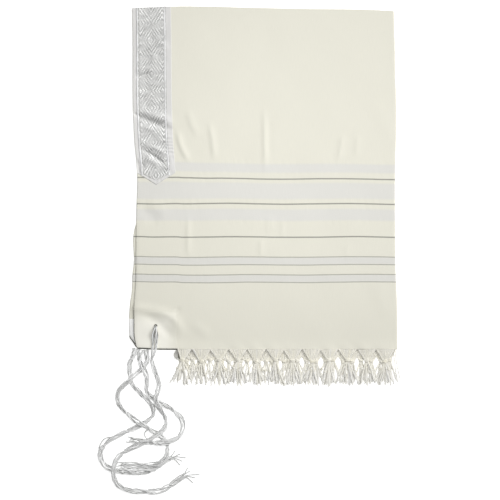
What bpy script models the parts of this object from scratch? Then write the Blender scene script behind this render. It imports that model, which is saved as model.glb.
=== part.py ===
"""Wool tallit folded in quarters and laid flat, with neckband, corner patches, fringe and tzitzit.

The shawl is folded in half along its length and then across its width, so that four quarters lie on
each other. The front quarter and the back quarter are walls of cloth whose lips turn round the two
folds. The two quarters between them share one rounded solid, layered at its open edges.

Units are metres in Blender and millimetres in the tables below. +Z is up. The origin is on the
surface the shawl lies on, under the middle of the folded cloth and its fringe. X runs from the long
edge, which carries the neckband, to the fold at mid-width. Y runs from the fringed hem to the fold at
mid-length. Places on the cloth are given as distances across it, from the long edge, and up it, from
the hem.
"""

import math
from collections import namedtuple

import bpy
from mathutils import Vector

MM = 0.001

# Cloth, in millimetres
CLOTH_WALL = 1.5            # fulled wool with its nap
SEAM_GAP = 0.3              # left between pieces that lie on or meet each other
FOLD_RADIUS = 3.95          # outside of the soft roll at a fold
MID_HEIGHT = FOLD_RADIUS + SEAM_GAP / 2
FOLD_TURNS = (30.0, 60.0, 90.0)
QUARTER_WIDTH = 710.0       # half of the 1420 mm cut width
QUARTER_LENGTH = 925.0      # half of the 1850 mm cut length
WIDEST_CELL = 125.0
HIDDEN_LIFT = -(CLOTH_WALL + SEAM_GAP)
LAYER_GROOVE = 6.0          # how far the slit between the two hidden quarters goes in
LAYER_GROOVE_HALF = 0.35

# Neckband, in millimetres
BAND_WALL = 0.9
BAND_WIDTH = 106.0
BORDER_WIDTH = 12.0
BROCADE_WIDTH = 80.0
BAND_SHOULDER = 475.0       # height above the hem where the band's sides start to close
BAND_POINT = 444.0          # height above the hem of the band's point
BROCADE_SHOULDER = 474.0
BROCADE_POINT = 456.0
BAND_STRAIGHT = 498.0       # from here up the rows of the band run straight across

# Corner patches, in millimetres
PATCH_WALL = 1.0
PATCH_WIDTH = 118.0
PATCH_HEIGHT = 103.0
SECOND_PATCH_HEIGHT = 79.0
PATCH_RAMP = 6.0            # cloth beside a patch that slopes up over its edge
PATCH_RISE = PATCH_WALL + SEAM_GAP
GRID_TOLERANCE = 0.1        # a row or column this near a patch's edge is the edge

# Fringe, in millimetres
FRINGE_DROP = 98.5
FRINGE_TIP_WALL = 1.5
HIDDEN_FRINGE_TIP_WALL = 2.4
FRINGE_FAN = 3.0            # how far the tips spread past the fold at mid-width

# Tzitzit, in millimetres
CORD_DIAMETER = 7.0
CORD_STEP = 17.5
CORD_BEVEL_STEPS = 2

EdgeRow = namedtuple("EdgeRow", "up front second back")
WidthRow = namedtuple("WidthRow", "up x")
LengthRow = namedtuple("LengthRow", "across y")
Station = namedtuple("Station", "share turn")
Surface = namedtuple("Surface", "colour roughness")

# The long edge at each height: where the front, second and back quarters end. The second quarter
# shows past the front one beside the corner, and its own corner is cut off by a slant.
LONG_EDGE = (
    EdgeRow(up=0.0, front=-341.3, second=-342.5, back=-339.0),
    EdgeRow(up=13.0, front=-345.6, second=-351.0, back=-343.0),
    EdgeRow(up=28.0, front=-348.3, second=-361.0, back=-346.0),
    EdgeRow(up=38.0, front=-349.4, second=-363.5, back=-347.0),
    EdgeRow(up=79.0, front=-349.7, second=-363.1, back=-347.3),
    EdgeRow(up=103.0, front=-349.9, second=-362.0, back=-347.5),
    EdgeRow(up=130.0, front=-348.8, second=-359.4, back=-346.5),
    EdgeRow(up=147.0, front=-347.8, second=-356.5, back=-345.5),
    EdgeRow(up=174.0, front=-345.9, second=-354.4, back=-343.5),
    EdgeRow(up=198.0, front=-345.1, second=-354.0, back=-342.6),
    EdgeRow(up=238.0, front=-344.9, second=-350.0, back=-342.4),
    EdgeRow(up=295.0, front=-344.6, second=-351.8, back=-342.2),
    EdgeRow(up=322.0, front=-344.1, second=-349.0, back=-341.6),
    EdgeRow(up=348.0, front=-343.6, second=-342.5, back=-341.1),
    EdgeRow(up=392.0, front=-342.6, second=-340.1, back=-340.1),
    EdgeRow(up=462.0, front=-340.6, second=-338.1, back=-338.1),
    EdgeRow(up=498.0, front=-343.0, second=-340.5, back=-340.5),
    EdgeRow(up=530.0, front=-345.6, second=-343.1, back=-343.1),
    EdgeRow(up=565.0, front=-348.9, second=-346.4, back=-346.4),
    EdgeRow(up=619.0, front=-351.4, second=-348.9, back=-348.9),
    EdgeRow(up=670.0, front=-353.2, second=-350.7, back=-350.7),
    EdgeRow(up=743.0, front=-353.6, second=-351.1, back=-351.1),
    EdgeRow(up=835.0, front=-353.6, second=-351.1, back=-351.1),
    EdgeRow(up=925.0, front=-354.8, second=-352.3, back=-352.3),
)

# The outside of the fold at mid-width, at each height
WIDTH_FOLD = (
    WidthRow(up=0.0, x=362.2),
    WidthRow(up=74.0, x=362.4),
    WidthRow(up=149.0, x=360.6),
    WidthRow(up=225.0, x=357.6),
    WidthRow(up=376.0, x=356.3),
    WidthRow(up=452.0, x=356.1),
    WidthRow(up=527.0, x=357.6),
    WidthRow(up=603.0, x=359.5),
    WidthRow(up=678.0, x=359.4),
    WidthRow(up=752.0, x=357.1),
    WidthRow(up=830.0, x=355.8),
    WidthRow(up=925.0, x=353.2),
)

# The outside of the fold at mid-length, at each distance across
LENGTH_FOLD = (
    LengthRow(across=0.0, y=507.7),
    LengthRow(across=60.0, y=509.6),
    LengthRow(across=121.0, y=512.9),
    LengthRow(across=175.0, y=512.9),
    LengthRow(across=229.0, y=512.0),
    LengthRow(across=310.0, y=509.6),
    LengthRow(across=391.0, y=507.8),
    LengthRow(across=453.0, y=506.5),
    LengthRow(across=629.0, y=504.2),
    LengthRow(across=710.0, y=500.6),
)

# The hem, at each distance across
HEM = (
    LengthRow(across=0.0, y=-409.2),
    LengthRow(across=35.0, y=-411.1),
    LengthRow(across=118.0, y=-413.3),
    LengthRow(across=300.0, y=-413.8),
    LengthRow(across=710.0, y=-413.8),
)

# Routes of the tzitzit, in metres. Each rests 0.3 mm above the surface and humps over those it
# crosses. The first one starts at the eyelet of the front patch and comes down over the hem.
TZITZIT_ROUTES = {
    "tzitzit_front": (
        (-0.2908, -0.3506, 0.0147), (-0.2919, -0.3638, 0.0147), (-0.2927, -0.3800, 0.0147),
        (-0.2938, -0.3962, 0.0148), (-0.2955, -0.4080, 0.0150), (-0.2973, -0.4175, 0.0147),
        (-0.2993, -0.4275, 0.0118), (-0.3009, -0.4385, 0.0068), (-0.2997, -0.4500, 0.0042),
        (-0.2938, -0.4691, 0.0038), (-0.2867, -0.4894, 0.0038), (-0.2830, -0.5096, 0.0040),
        (-0.2859, -0.5285, 0.0062), (-0.2903, -0.5461, 0.0112), (-0.2865, -0.5610, 0.0116),
        (-0.2765, -0.5771, 0.0060), (-0.2662, -0.5947, 0.0040), (-0.2633, -0.6136, 0.0040),
        (-0.2711, -0.6311, 0.0086), (-0.2878, -0.6452, 0.0120), (-0.3116, -0.6595, 0.0124),
        (-0.3386, -0.6716, 0.0104), (-0.3629, -0.6843, 0.0040), (-0.3858, -0.6986, 0.0044),
        (-0.3991, -0.7162, 0.0088), (-0.4045, -0.7364, 0.0123), (-0.4045, -0.7553, 0.0086),
        (-0.3974, -0.7732, 0.0042), (-0.3823, -0.7867, 0.0038), (-0.3602, -0.7937, 0.0038),
        (-0.3305, -0.7969, 0.0038), (-0.3008, -0.7977, 0.0038), (-0.2738, -0.7932, 0.0038),
        (-0.2522, -0.7813, 0.0038), (-0.2292, -0.7661, 0.0038), (-0.2117, -0.7513, 0.0038),
    ),
    "tzitzit_second": (
        (-0.3448, -0.4106, 0.0038), (-0.3478, -0.4219, 0.0038), (-0.3553, -0.4367, 0.0038),
        (-0.3607, -0.4543, 0.0038), (-0.3607, -0.4718, 0.0038), (-0.3591, -0.4880, 0.0038),
        (-0.3569, -0.5002, 0.0038), (-0.3494, -0.5137, 0.0038), (-0.3370, -0.5258, 0.0038),
        (-0.3262, -0.5382, 0.0038), (-0.3137, -0.5490, 0.0038), (-0.3040, -0.5609, 0.0038),
        (-0.2975, -0.5771, 0.0038), (-0.2981, -0.5906, 0.0038), (-0.3075, -0.6022, 0.0038),
        (-0.3264, -0.6141, 0.0038), (-0.3575, -0.6298, 0.0038), (-0.3899, -0.6460, 0.0038),
        (-0.4196, -0.6622, 0.0038), (-0.4363, -0.6824, 0.0038), (-0.4396, -0.7040, 0.0038),
        (-0.4277, -0.7283, 0.0038), (-0.4088, -0.7391, 0.0038), (-0.3872, -0.7437, 0.0038),
        (-0.3521, -0.7464, 0.0038), (-0.3143, -0.7424, 0.0038), (-0.2919, -0.7326, 0.0038),
        (-0.2697, -0.7159, 0.0038), (-0.2562, -0.7086, 0.0038), (-0.2454, -0.7040, 0.0038),
    ),
    "tzitzit_third": (
        (-0.3170, -0.4143, 0.0038), (-0.3143, -0.4340, 0.0038), (-0.3159, -0.4489, 0.0038),
        (-0.3256, -0.4643, 0.0038), (-0.3426, -0.4794, 0.0080), (-0.3591, -0.4950, 0.0121),
        (-0.3780, -0.5118, 0.0080), (-0.3920, -0.5285, 0.0041), (-0.3947, -0.5488, 0.0038),
        (-0.3845, -0.5704, 0.0038), (-0.3669, -0.5879, 0.0040), (-0.3480, -0.6028, 0.0082),
        (-0.3268, -0.6164, 0.0120), (-0.3080, -0.6280, 0.0080), (-0.2900, -0.6397, 0.0040),
        (-0.2697, -0.6549, 0.0038), (-0.2592, -0.6730, 0.0038), (-0.2587, -0.6905, 0.0070),
        (-0.2649, -0.7084, 0.0108), (-0.2797, -0.7202, 0.0122), (-0.3035, -0.7267, 0.0062),
        (-0.3305, -0.7292, 0.0038), (-0.3580, -0.7297, 0.0038), (-0.3860, -0.7278, 0.0038),
    ),
    "tzitzit_back": (
        (-0.3297, -0.4143, 0.0038), (-0.3348, -0.4313, 0.0044), (-0.3316, -0.4489, 0.0086),
        (-0.3227, -0.4652, 0.0114), (-0.3143, -0.4867, 0.0078), (-0.3143, -0.5056, 0.0041),
        (-0.3164, -0.5218, 0.0038), (-0.3094, -0.5356, 0.0038), (-0.2948, -0.5480, 0.0038),
        (-0.2792, -0.5596, 0.0038), (-0.2616, -0.5679, 0.0038), (-0.2400, -0.5812, 0.0038),
        (-0.2230, -0.6003, 0.0038), (-0.2182, -0.6252, 0.0038), (-0.2295, -0.6500, 0.0048),
        (-0.2490, -0.6600, 0.0098), (-0.2690, -0.6640, 0.0112), (-0.2880, -0.6647, 0.0066),
        (-0.3080, -0.6645, 0.0039), (-0.3332, -0.6622, 0.0038), (-0.3629, -0.6571, 0.0038),
    ),
}

WOOL = Surface(colour=(0.80, 0.77, 0.68), roughness=0.85)
BAND_SATIN = Surface(colour=(0.70, 0.70, 0.71), roughness=0.45)
BROCADE = Surface(colour=(0.66, 0.66, 0.66), roughness=0.40)
PATCH_CLOTH = Surface(colour=(0.83, 0.81, 0.74), roughness=0.60)
FRINGE_YARN = Surface(colour=(0.82, 0.81, 0.75), roughness=0.85)
TZITZIT_YARN = Surface(colour=(0.70, 0.71, 0.70), roughness=0.85)


def through(places, values, at):
    """The value at one place of the smooth curve that passes through each value at its place."""
    last = len(places) - 1
    after = next((i for i in range(1, last) if places[i] >= at), last)
    before = after - 1
    span = places[after] - places[before]
    share = (at - places[before]) / span
    slopes = []
    for i in (before, after):
        low, high = max(i - 1, 0), min(i + 1, last)
        slopes.append((values[high] - values[low]) / (places[high] - places[low]) * span)
    start, end = values[before], values[after]
    curve = 2 * start - 2 * end + slopes[0] + slopes[1]
    bend = 3 * end - 3 * start - 2 * slopes[0] - slopes[1]
    return ((curve * share + bend) * share + slopes[0]) * share + start


def long_edge(quarter, up):
    """X of the long edge of one quarter, at a height above the hem."""
    return through([row.up for row in LONG_EDGE], [getattr(row, quarter) for row in LONG_EDGE], up)


def width_fold(up):
    """X of the outside of the fold at mid-width."""
    return through([row.up for row in WIDTH_FOLD], [row.x for row in WIDTH_FOLD], up)


def across_line(rows, across):
    """Y of the hem or of the fold at mid-length, at a distance across the cloth."""
    return through([row.across for row in rows], [row.y for row in rows], across)


def stations(lines, length, turned=True):
    """Flat stations at the lines and between them, then stations that turn round a fold."""
    lines = sorted(set(lines))
    places = [lines[0]]
    for start, end in zip(lines, lines[1:]):
        cells = math.ceil((end - start) / WIDEST_CELL)
        places += [start + (end - start) * (i + 1) / cells for i in range(cells)]
    flat = [Station(share=place / length, turn=0.0) for place in places]
    if not turned:
        return flat
    return flat + [Station(share=1.0, turn=math.radians(turn)) for turn in FOLD_TURNS]


def ramp(place, edge):
    """1 up to an edge, falling to 0 over the ramp past it."""
    return min(max(1 - (place - edge) / PATCH_RAMP, 0.0), 1.0)


def patch_cover(station_across, station_up, height):
    """1 where a corner patch lies, 0 away from it and between them on the ramp round it."""
    across = station_across.share * QUARTER_WIDTH
    up = station_up.share * QUARTER_LENGTH
    return min(ramp(across, PATCH_WIDTH), ramp(up, height))


def rise(quarter, station_across, station_up):
    """How far a patch below lifts the cloth: the second quarter's on top, the back one's below."""
    height = SECOND_PATCH_HEIGHT if quarter == "front" else PATCH_HEIGHT
    return PATCH_RISE * patch_cover(station_across, station_up, height)


def quarter_point(quarter, side, across, up, lift):
    """A point of a quarter's outer surface, moved out by lift.

    side is 1 for the upper half of the stack and -1 for the lower half. Past the flat part the
    surface turns round the folds as on a roll, and as on a ball where both folds meet.
    """
    height = up.share * QUARTER_LENGTH
    distance = across.share * QUARTER_WIDTH
    start = long_edge(quarter, height)
    x = start + (width_fold(height) - FOLD_RADIUS - start) * across.share
    hem = across_line(HEM, distance)
    y = hem + (across_line(LENGTH_FOLD, distance) - FOLD_RADIUS - hem) * up.share
    turn_x, turn_y = math.sin(across.turn), math.sin(up.turn)
    radius = FOLD_RADIUS + lift
    x += radius * turn_x * math.sqrt(1 - turn_y ** 2 / 2)
    y += radius * turn_y * math.sqrt(1 - turn_x ** 2 / 2)
    z = side * (SEAM_GAP / 2 + radius * math.cos(across.turn) * math.cos(up.turn))
    return Vector((x, y, MID_HEIGHT + z))


def quarter_grid(quarter, side, columns, rows, lift, lifted_by=None):
    """Rows of points over one face of a quarter, raised by what lies under it."""
    grid = []
    for up in rows:
        line = []
        for across in columns:
            point = quarter_point(quarter, side, across, up, lift)
            if lifted_by:
                point.z += rise(lifted_by, across, up)
            line.append(point)
        grid.append(line)
    return grid


def outline(grid):
    """Row and column of each point round a grid, anticlockwise from its first corner."""
    last_row, last_column = len(grid) - 1, len(grid[0]) - 1
    hem = [(0, column) for column in range(last_column)]
    fold = [(row, last_column) for row in range(last_row)]
    top = [(last_row, column) for column in range(last_column, 0, -1)]
    edge = [(row, 0) for row in range(last_row, 0, -1)]
    return hem + fold + top + edge


def add_slab(name, upper, lower, surface, side_rings=()):
    """A closed solid between two grids of points, in millimetres.

    Each cell is split along the same diagonal in every slab, so layers that follow each other keep
    their gap. side_rings are extra loops of points round the side, from top to bottom, each a dict
    from a place in the outline to its point; a place that is missing has no extra point.
    """
    vertices = [point for grid in (upper, lower) for line in grid for point in line]
    width = len(upper[0])
    base = len(upper) * width
    faces = []
    for row in range(len(upper) - 1):
        for column in range(width - 1):
            first = row * width + column
            second, third, fourth = first + 1, first + width + 1, first + width
            faces += [(first, second, third), (first, third, fourth)]
            below = [corner + base for corner in (first, second, third, fourth)]
            faces += [(below[0], below[2], below[1]), (below[0], below[3], below[2])]
    loop = outline(upper)
    rings = [[row * width + column for row, column in loop]]
    bottom = [base + corner for corner in rings[0]]
    for ring in side_rings:
        corners = []
        for place, corner in zip(loop, bottom):
            if place in ring:
                corners.append(len(vertices))
                vertices.append(ring[place])
            else:
                corners.append(corner)
        rings.append(corners)
    rings.append(bottom)
    for top, under in zip(rings, rings[1:]):
        for i in range(len(loop)):
            after = (i + 1) % len(loop)
            corners = (top[i], under[i], under[after], top[after])
            for triangle in (corners[:3], (corners[0], corners[2], corners[3])):
                if len(set(triangle)) == 3:
                    faces.append(triangle)
    mesh = bpy.data.meshes.new(name)
    mesh.from_pydata([point * MM for point in vertices], [], faces)
    mesh.validate()
    return add_object(name, mesh, surface)


def add_object(name, data, surface):
    """A named object with a fabric material of its own."""
    material = bpy.data.materials.new(name + " fabric")
    material.use_nodes = True
    shader = material.node_tree.nodes["Principled BSDF"]
    shader.inputs["Base Color"].default_value = (*surface.colour, 1.0)
    shader.inputs["Roughness"].default_value = surface.roughness
    shader.inputs["Metallic"].default_value = 0.0
    data.materials.append(material)
    piece = bpy.data.objects.new(name, data)
    bpy.context.scene.collection.objects.link(piece)
    return piece


def cloth_stations():
    """The columns and rows that every quarter shares."""
    columns = [0.0, BORDER_WIDTH, BAND_WIDTH / 2, BORDER_WIDTH + BROCADE_WIDTH, BAND_WIDTH]
    columns += [PATCH_WIDTH, PATCH_WIDTH + PATCH_RAMP, QUARTER_WIDTH]
    rows = [row.up for row in LONG_EDGE]
    rows += [SECOND_PATCH_HEIGHT + PATCH_RAMP, PATCH_HEIGHT + PATCH_RAMP]
    return stations(columns, QUARTER_WIDTH), stations(rows, QUARTER_LENGTH)


def add_outer_quarters(columns, rows):
    """The front quarter, and the back one, flat on the surface except over its own patch."""
    upper = quarter_grid("front", 1, columns, rows, 0.0, "front")
    lower = quarter_grid("front", 1, columns, rows, -CLOTH_WALL, "front")
    front = add_slab("cloth_front_quarter", upper, lower, WOOL)
    upper = quarter_grid("back", -1, columns, rows, -CLOTH_WALL, "back")
    lower = quarter_grid("back", -1, columns, rows, 0.0, "back")
    back = add_slab("cloth_back_quarter", upper, lower, WOOL)
    return [front, back]


def add_hidden_quarters(columns, rows):
    """The second and third quarters as one solid, with a slit between them along the open edges."""
    upper = quarter_grid("second", 1, columns, rows, HIDDEN_LIFT)
    lower = quarter_grid("back", -1, columns, rows, HIDDEN_LIFT, "back")
    heights = (LAYER_GROOVE_HALF, LAYER_GROOVE_HALF, -LAYER_GROOVE_HALF, -LAYER_GROOVE_HALF)
    insets = (0.0, LAYER_GROOVE, LAYER_GROOVE, 0.0)
    rings = []
    for height, inset, source in zip(heights, insets, (upper, upper, lower, lower)):
        ring = {}
        for row, column in outline(upper):
            if row > 0 and column > 0:
                continue
            point = source[row][column].copy()
            point.z = MID_HEIGHT + PATCH_RISE / 2 * patch_cover(columns[column], rows[row], PATCH_HEIGHT)
            point.z += height
            point.x += inset * (column == 0)
            point.y += inset * (row == 0)
            ring[(row, column)] = point
        rings.append(ring)
    return add_slab("cloth_hidden_quarters", upper, lower, WOOL, rings)


def add_band_layer(name, start, end, shoulder, point, lift, wall, surface, columns, rows):
    """A strip of the neckband on the front quarter, from its pointed end round the top fold."""
    middle = BAND_WIDTH / 2 / QUARTER_WIDTH
    inner = [column for column in columns if start < column.share * QUARTER_WIDTH < end]
    strip = [Station(start / QUARTER_WIDTH, 0.0)] + inner + [Station(end / QUARTER_WIDTH, 0.0)]
    straight = [row for row in rows if row.share * QUARTER_LENGTH >= BAND_STRAIGHT]
    grids = []
    for height in (lift + wall, lift):
        grid = quarter_grid("front", 1, strip, straight, height)
        tip_line = []
        for station in strip:
            beside = abs(station.share - middle) * QUARTER_WIDTH / (end - start) * 2
            up = point + (shoulder - point) * beside
            tip = Station(up / QUARTER_LENGTH, 0.0)
            tip_line.append(quarter_point("front", 1, station, tip, height))
        grids.append([tip_line] + grid)
    return add_slab(name, grids[0], grids[1], surface)


def add_neckband(columns, rows):
    """The plain satin band and the brocade panel that lies on it."""
    backing = add_band_layer(
        "neckband_satin",
        0.0,
        BAND_WIDTH,
        BAND_SHOULDER,
        BAND_POINT,
        SEAM_GAP,
        BAND_WALL,
        BAND_SATIN,
        columns,
        rows,
    )
    brocade = add_band_layer(
        "neckband_brocade",
        BORDER_WIDTH + SEAM_GAP,
        BORDER_WIDTH + BROCADE_WIDTH + SEAM_GAP,
        BROCADE_SHOULDER,
        BROCADE_POINT,
        2 * SEAM_GAP + BAND_WALL,
        BAND_WALL,
        BROCADE,
        columns,
        rows,
    )
    return [backing, brocade]


def add_patch(name, quarter, side, height, lift, wall, lifted_by, columns, rows):
    """A corner patch, made from the points of the cloth it lies on, moved out."""
    strip = [column for column in columns if column.share * QUARTER_WIDTH <= PATCH_WIDTH + GRID_TOLERANCE]
    part = [row for row in rows if row.share * QUARTER_LENGTH <= height + GRID_TOLERANCE]
    lifts = (lift + wall, lift) if side > 0 else (lift, lift + wall)
    grids = [quarter_grid(quarter, side, strip, part, out, lifted_by) for out in lifts]
    return add_slab(name, grids[0], grids[1], PATCH_CLOTH)


def add_patches(columns, rows):
    """The patches that show: on the front quarter, on the second one's edge and underneath."""
    front = add_patch(
        "corner_patch_front", "front", 1, PATCH_HEIGHT, SEAM_GAP, PATCH_WALL, "front", columns, rows
    )
    second = add_patch(
        "corner_patch_second", "second", 1, SECOND_PATCH_HEIGHT, HIDDEN_LIFT + SEAM_GAP, PATCH_WALL,
        None, columns, rows
    )
    back = add_patch(
        "corner_patch_back", "back", -1, PATCH_HEIGHT, -PATCH_WALL, PATCH_WALL, None, columns, rows
    )
    return [front, second, back]


def add_fringe(name, top, bottom, tip_top, tip_bottom, columns):
    """The plain solid of one fringe's reach, from the hem to its tips."""
    strip = [column for column in columns if column.share * QUARTER_WIDTH >= PATCH_WIDTH]
    strip = [column for column in strip if column.turn == 0.0] + [columns[-1]]
    hem_row = Station(0.0, 0.0)
    grids = []
    for height, tip_height in ((top, tip_top), (bottom, tip_bottom)):
        grid = []
        for drop, level in ((FRINGE_DROP, tip_height), (SEAM_GAP, height)):
            line = []
            for station in strip:
                point = quarter_point("front", 1, station, hem_row, 0.0)
                fan = FRINGE_FAN * station.share * drop / FRINGE_DROP * (station.turn > 0)
                line.append(Vector((point.x + fan, point.y - drop, level)))
            grid.append(line)
        grids.append(grid)
    return add_slab(name, grids[0], grids[1], FRINGE_YARN)


def add_fringes(columns):
    """The fringes of the front and back quarters, and one solid for the two between them."""
    stack = 2 * MID_HEIGHT
    back_tip = FRINGE_TIP_WALL
    hidden_tip = back_tip + SEAM_GAP + HIDDEN_FRINGE_TIP_WALL
    front_tip = hidden_tip + SEAM_GAP + FRINGE_TIP_WALL
    inset = CLOTH_WALL + SEAM_GAP
    back = add_fringe("fringe_back", CLOTH_WALL, 0.0, back_tip, 0.0, columns)
    hidden = add_fringe("fringe_hidden", stack - inset, inset, hidden_tip, back_tip + SEAM_GAP, columns)
    front = add_fringe("fringe_front", stack, stack - CLOTH_WALL, front_tip, hidden_tip + SEAM_GAP, columns)
    return [back, hidden, front]


def smooth_route(route, step):
    """Evenly spaced points, a step apart in metres, on the smooth curve through a route."""
    points = [Vector(point) for point in route]
    reach = [0.0]
    for start, end in zip(points, points[1:]):
        reach.append(reach[-1] + (end - start).length)
    count = round(reach[-1] / step)
    axes = list(zip(*points))
    places = [reach[-1] * i / count for i in range(count + 1)]
    return [Vector([through(reach, axis, place) for axis in axes]) for place in places]


def add_cord(name, route):
    """One bundle of tzitzit strings, as a plain round tube with closed ends."""
    curve = bpy.data.curves.new(name, "CURVE")
    curve.dimensions = "3D"
    curve.bevel_depth = CORD_DIAMETER * MM / 2
    curve.bevel_resolution = CORD_BEVEL_STEPS
    curve.use_fill_caps = True
    curve.resolution_u = 1
    curve.render_resolution_u = 0
    spline = curve.splines.new("POLY")
    points = smooth_route(route, CORD_STEP * MM)
    spline.points.add(len(points) - 1)
    for knot, point in zip(spline.points, points):
        knot.co = (*point, 1.0)
    return add_object(name, curve, TZITZIT_YARN)


def build_tallit():
    """All pieces, under one empty."""
    for old in list(bpy.data.objects):
        bpy.data.objects.remove(old, do_unlink=True)
    columns, rows = cloth_stations()
    pieces = add_outer_quarters(columns, rows)
    pieces.append(add_hidden_quarters(columns, rows))
    pieces += add_neckband(columns, rows)
    pieces += add_patches(columns, rows)
    pieces += add_fringes(columns)
    pieces += [add_cord(name, route) for name, route in TZITZIT_ROUTES.items()]
    frame = bpy.data.objects.new("tallit", None)
    bpy.context.scene.collection.objects.link(frame)
    for piece in pieces:
        piece.parent = frame


build_tallit()
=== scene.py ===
"""Looks of a wool tallit, folded in quarters and laid flat.

The cloth is one length of fulled wool, folded in half along its length and then across its width. The
outer sheet holds the front and back quarters, and the inner sheet holds the two between them. The
satin neckband with its brocade panel, the corner patches, the knotted fringe and the tzitzit are laid
on the same form of the cloth, so that they follow its creases.

Tables are in millimetres, and meshes are in metres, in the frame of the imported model. A place on the
cloth is a distance across it, from the long edge, and a distance up it, from the hem. Past the folds
both distances go on round the roll and along the next quarter.
"""

import logging
import math
from collections.abc import Callable, Sequence
from dataclasses import dataclass, field
from enum import Enum
from typing import Any

import bpy
import numpy as np
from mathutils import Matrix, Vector


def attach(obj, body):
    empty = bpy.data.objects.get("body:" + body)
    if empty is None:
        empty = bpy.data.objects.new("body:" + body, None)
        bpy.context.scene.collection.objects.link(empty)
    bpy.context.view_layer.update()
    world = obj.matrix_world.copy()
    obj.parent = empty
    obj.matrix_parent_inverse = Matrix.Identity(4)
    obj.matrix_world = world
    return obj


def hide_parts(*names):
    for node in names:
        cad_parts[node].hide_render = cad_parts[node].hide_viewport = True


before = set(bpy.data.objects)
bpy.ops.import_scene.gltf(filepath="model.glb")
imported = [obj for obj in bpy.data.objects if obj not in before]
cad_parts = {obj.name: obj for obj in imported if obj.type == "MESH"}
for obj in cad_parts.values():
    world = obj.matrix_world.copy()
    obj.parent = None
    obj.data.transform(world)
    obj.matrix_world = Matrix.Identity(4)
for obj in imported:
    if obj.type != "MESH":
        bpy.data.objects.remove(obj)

LOG = logging.getLogger("tallit")
MM = 0.001
BODY = "root"

Array = np.ndarray
Material = bpy.types.Material
Node = bpy.types.Node
Piece = bpy.types.Object
Random = np.random.Generator
Socket = bpy.types.NodeSocket
Tree = bpy.types.NodeTree
Source = Node | Socket

BUMP = "ShaderNodeBump"
MATH = "ShaderNodeMath"
MIX = "ShaderNodeMix"
NOISE = "ShaderNodeTexNoise"
RANGE = "ShaderNodeMapRange"
VECTOR_MATH = "ShaderNodeVectorMath"
SUM = {"operation": "ADD"}
DIFFERENCE = {"operation": "SUBTRACT"}
PRODUCT = {"operation": "MULTIPLY"}
PRODUCT_AND_SUM = {"operation": "MULTIPLY_ADD"}
GREATEST = {"operation": "MAXIMUM"}
LEAST = {"operation": "MINIMUM"}
SCALED = {"operation": "SCALE"}
EASED = {"interpolation_type": "SMOOTHSTEP"}
COLOURS = {"data_type": "RGBA"}
NUMBER = {"data_type": "FLOAT"}


class Slot(Enum):
    """Material slots of the record."""

    WOOL = "wool"
    SATIN = "band_satin"
    BROCADE = "brocade"
    PATCH = "patch_cloth"
    FRINGE = "fringe_yarn"
    TZITZIT = "tzitzit_yarn"


# ---- Small tools: colours, nodes, curves, meshes


def linear(colour: str) -> tuple[float, float, float, float]:
    """Turn an sRGB hex colour into linear red, green, blue and alpha."""
    shares = [int(colour[i : i + 2], 16) / 255 for i in (1, 3, 5)]
    return (*(c / 12.92 if c <= 0.04045 else ((c + 0.055) / 1.055) ** 2.4 for c in shares), 1.0)


def feed(tree: Tree, node: Node, inputs: dict[str | int, Any]) -> None:
    """Set a node's inputs, or link them.

    Args:
        tree: The tree that holds the node.
        node: The node.
        inputs: What goes in, by the input's name or index: a value, a socket, or a node, which
            gives its first output.
    """
    for key, value in inputs.items():
        if isinstance(value, Node):
            value = value.outputs[0]
        if isinstance(value, Socket):
            tree.links.new(value, node.inputs[key])
        else:
            node.inputs[key].default_value = value


def add_node(
    tree: Tree, kind: str, settings: dict[str, Any] | None = None, inputs: dict[str | int, Any] | None = None
) -> Node:
    """Add a node with its settings, and with each input set or linked.

    Args:
        tree: The tree that gets the node.
        kind: The node's type.
        settings: Properties of the node by name.
        inputs: What goes in, as feed takes it.

    Returns:
        The new node.
    """
    node = tree.nodes.new(kind)
    for name, value in (settings or {}).items():
        setattr(node, name, value)
    feed(tree, node, inputs or {})
    return node


def smooth(start: float, end: float, at: Array | float) -> Array:
    """Rise smoothly from 0 at start to 1 at end."""
    share = np.clip((np.asarray(at, float) - start) / (end - start), 0, 1)
    return share * share * (3 - 2 * share)


def steps(*runs: tuple[float, float, float]) -> Array:
    """List the places along a line.

    Args:
        runs: Start, end and widest step of each stretch of the line.

    Returns:
        The places, in order and each once.
    """
    places: list[float] = []
    for start, end, widest in runs:
        count = max(1, math.ceil((end - start) / widest - 1e-6))
        places += list(np.linspace(start, end, count + 1))
    return np.unique(np.round(places, 4))


def reach_along(points: Array) -> Array:
    """Distance of each point of a line from its start, along the line."""
    return np.concatenate([[0], np.cumsum(np.linalg.norm(np.diff(points, axis=0), axis=1))])


class SmoothLine:
    """Smooth curve through a short table of places and values."""

    def __init__(self, places: Sequence[float], values: Sequence[float]) -> None:
        """Work out the slope at each place.

        Args:
            places: Where the values are known, in rising order.
            values: The curve's value at each place.
        """
        self.places = np.array(places, float)
        self.values = np.array(values, float)
        index = np.arange(len(self.places))
        low = np.maximum(index - 1, 0)
        high = np.minimum(index + 1, len(index) - 1)
        self.slopes = (self.values[high] - self.values[low]) / (self.places[high] - self.places[low])

    def __call__(self, at: Array | float) -> Array:
        """Read the curve.

        Args:
            at: Places along it.

        Returns:
            The curve's value at each place.
        """
        at = np.asarray(at, float)
        i = np.clip(np.searchsorted(self.places, at) - 1, 0, len(self.places) - 2)
        span = self.places[i + 1] - self.places[i]
        share = (at - self.places[i]) / span
        start, end = self.values[i], self.values[i + 1]
        leave, arrive = self.slopes[i] * span, self.slopes[i + 1] * span
        curve = 2 * start - 2 * end + leave + arrive
        bend = 3 * end - 3 * start - 2 * leave - arrive
        return ((curve * share + bend) * share + leave) * share + start


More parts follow.
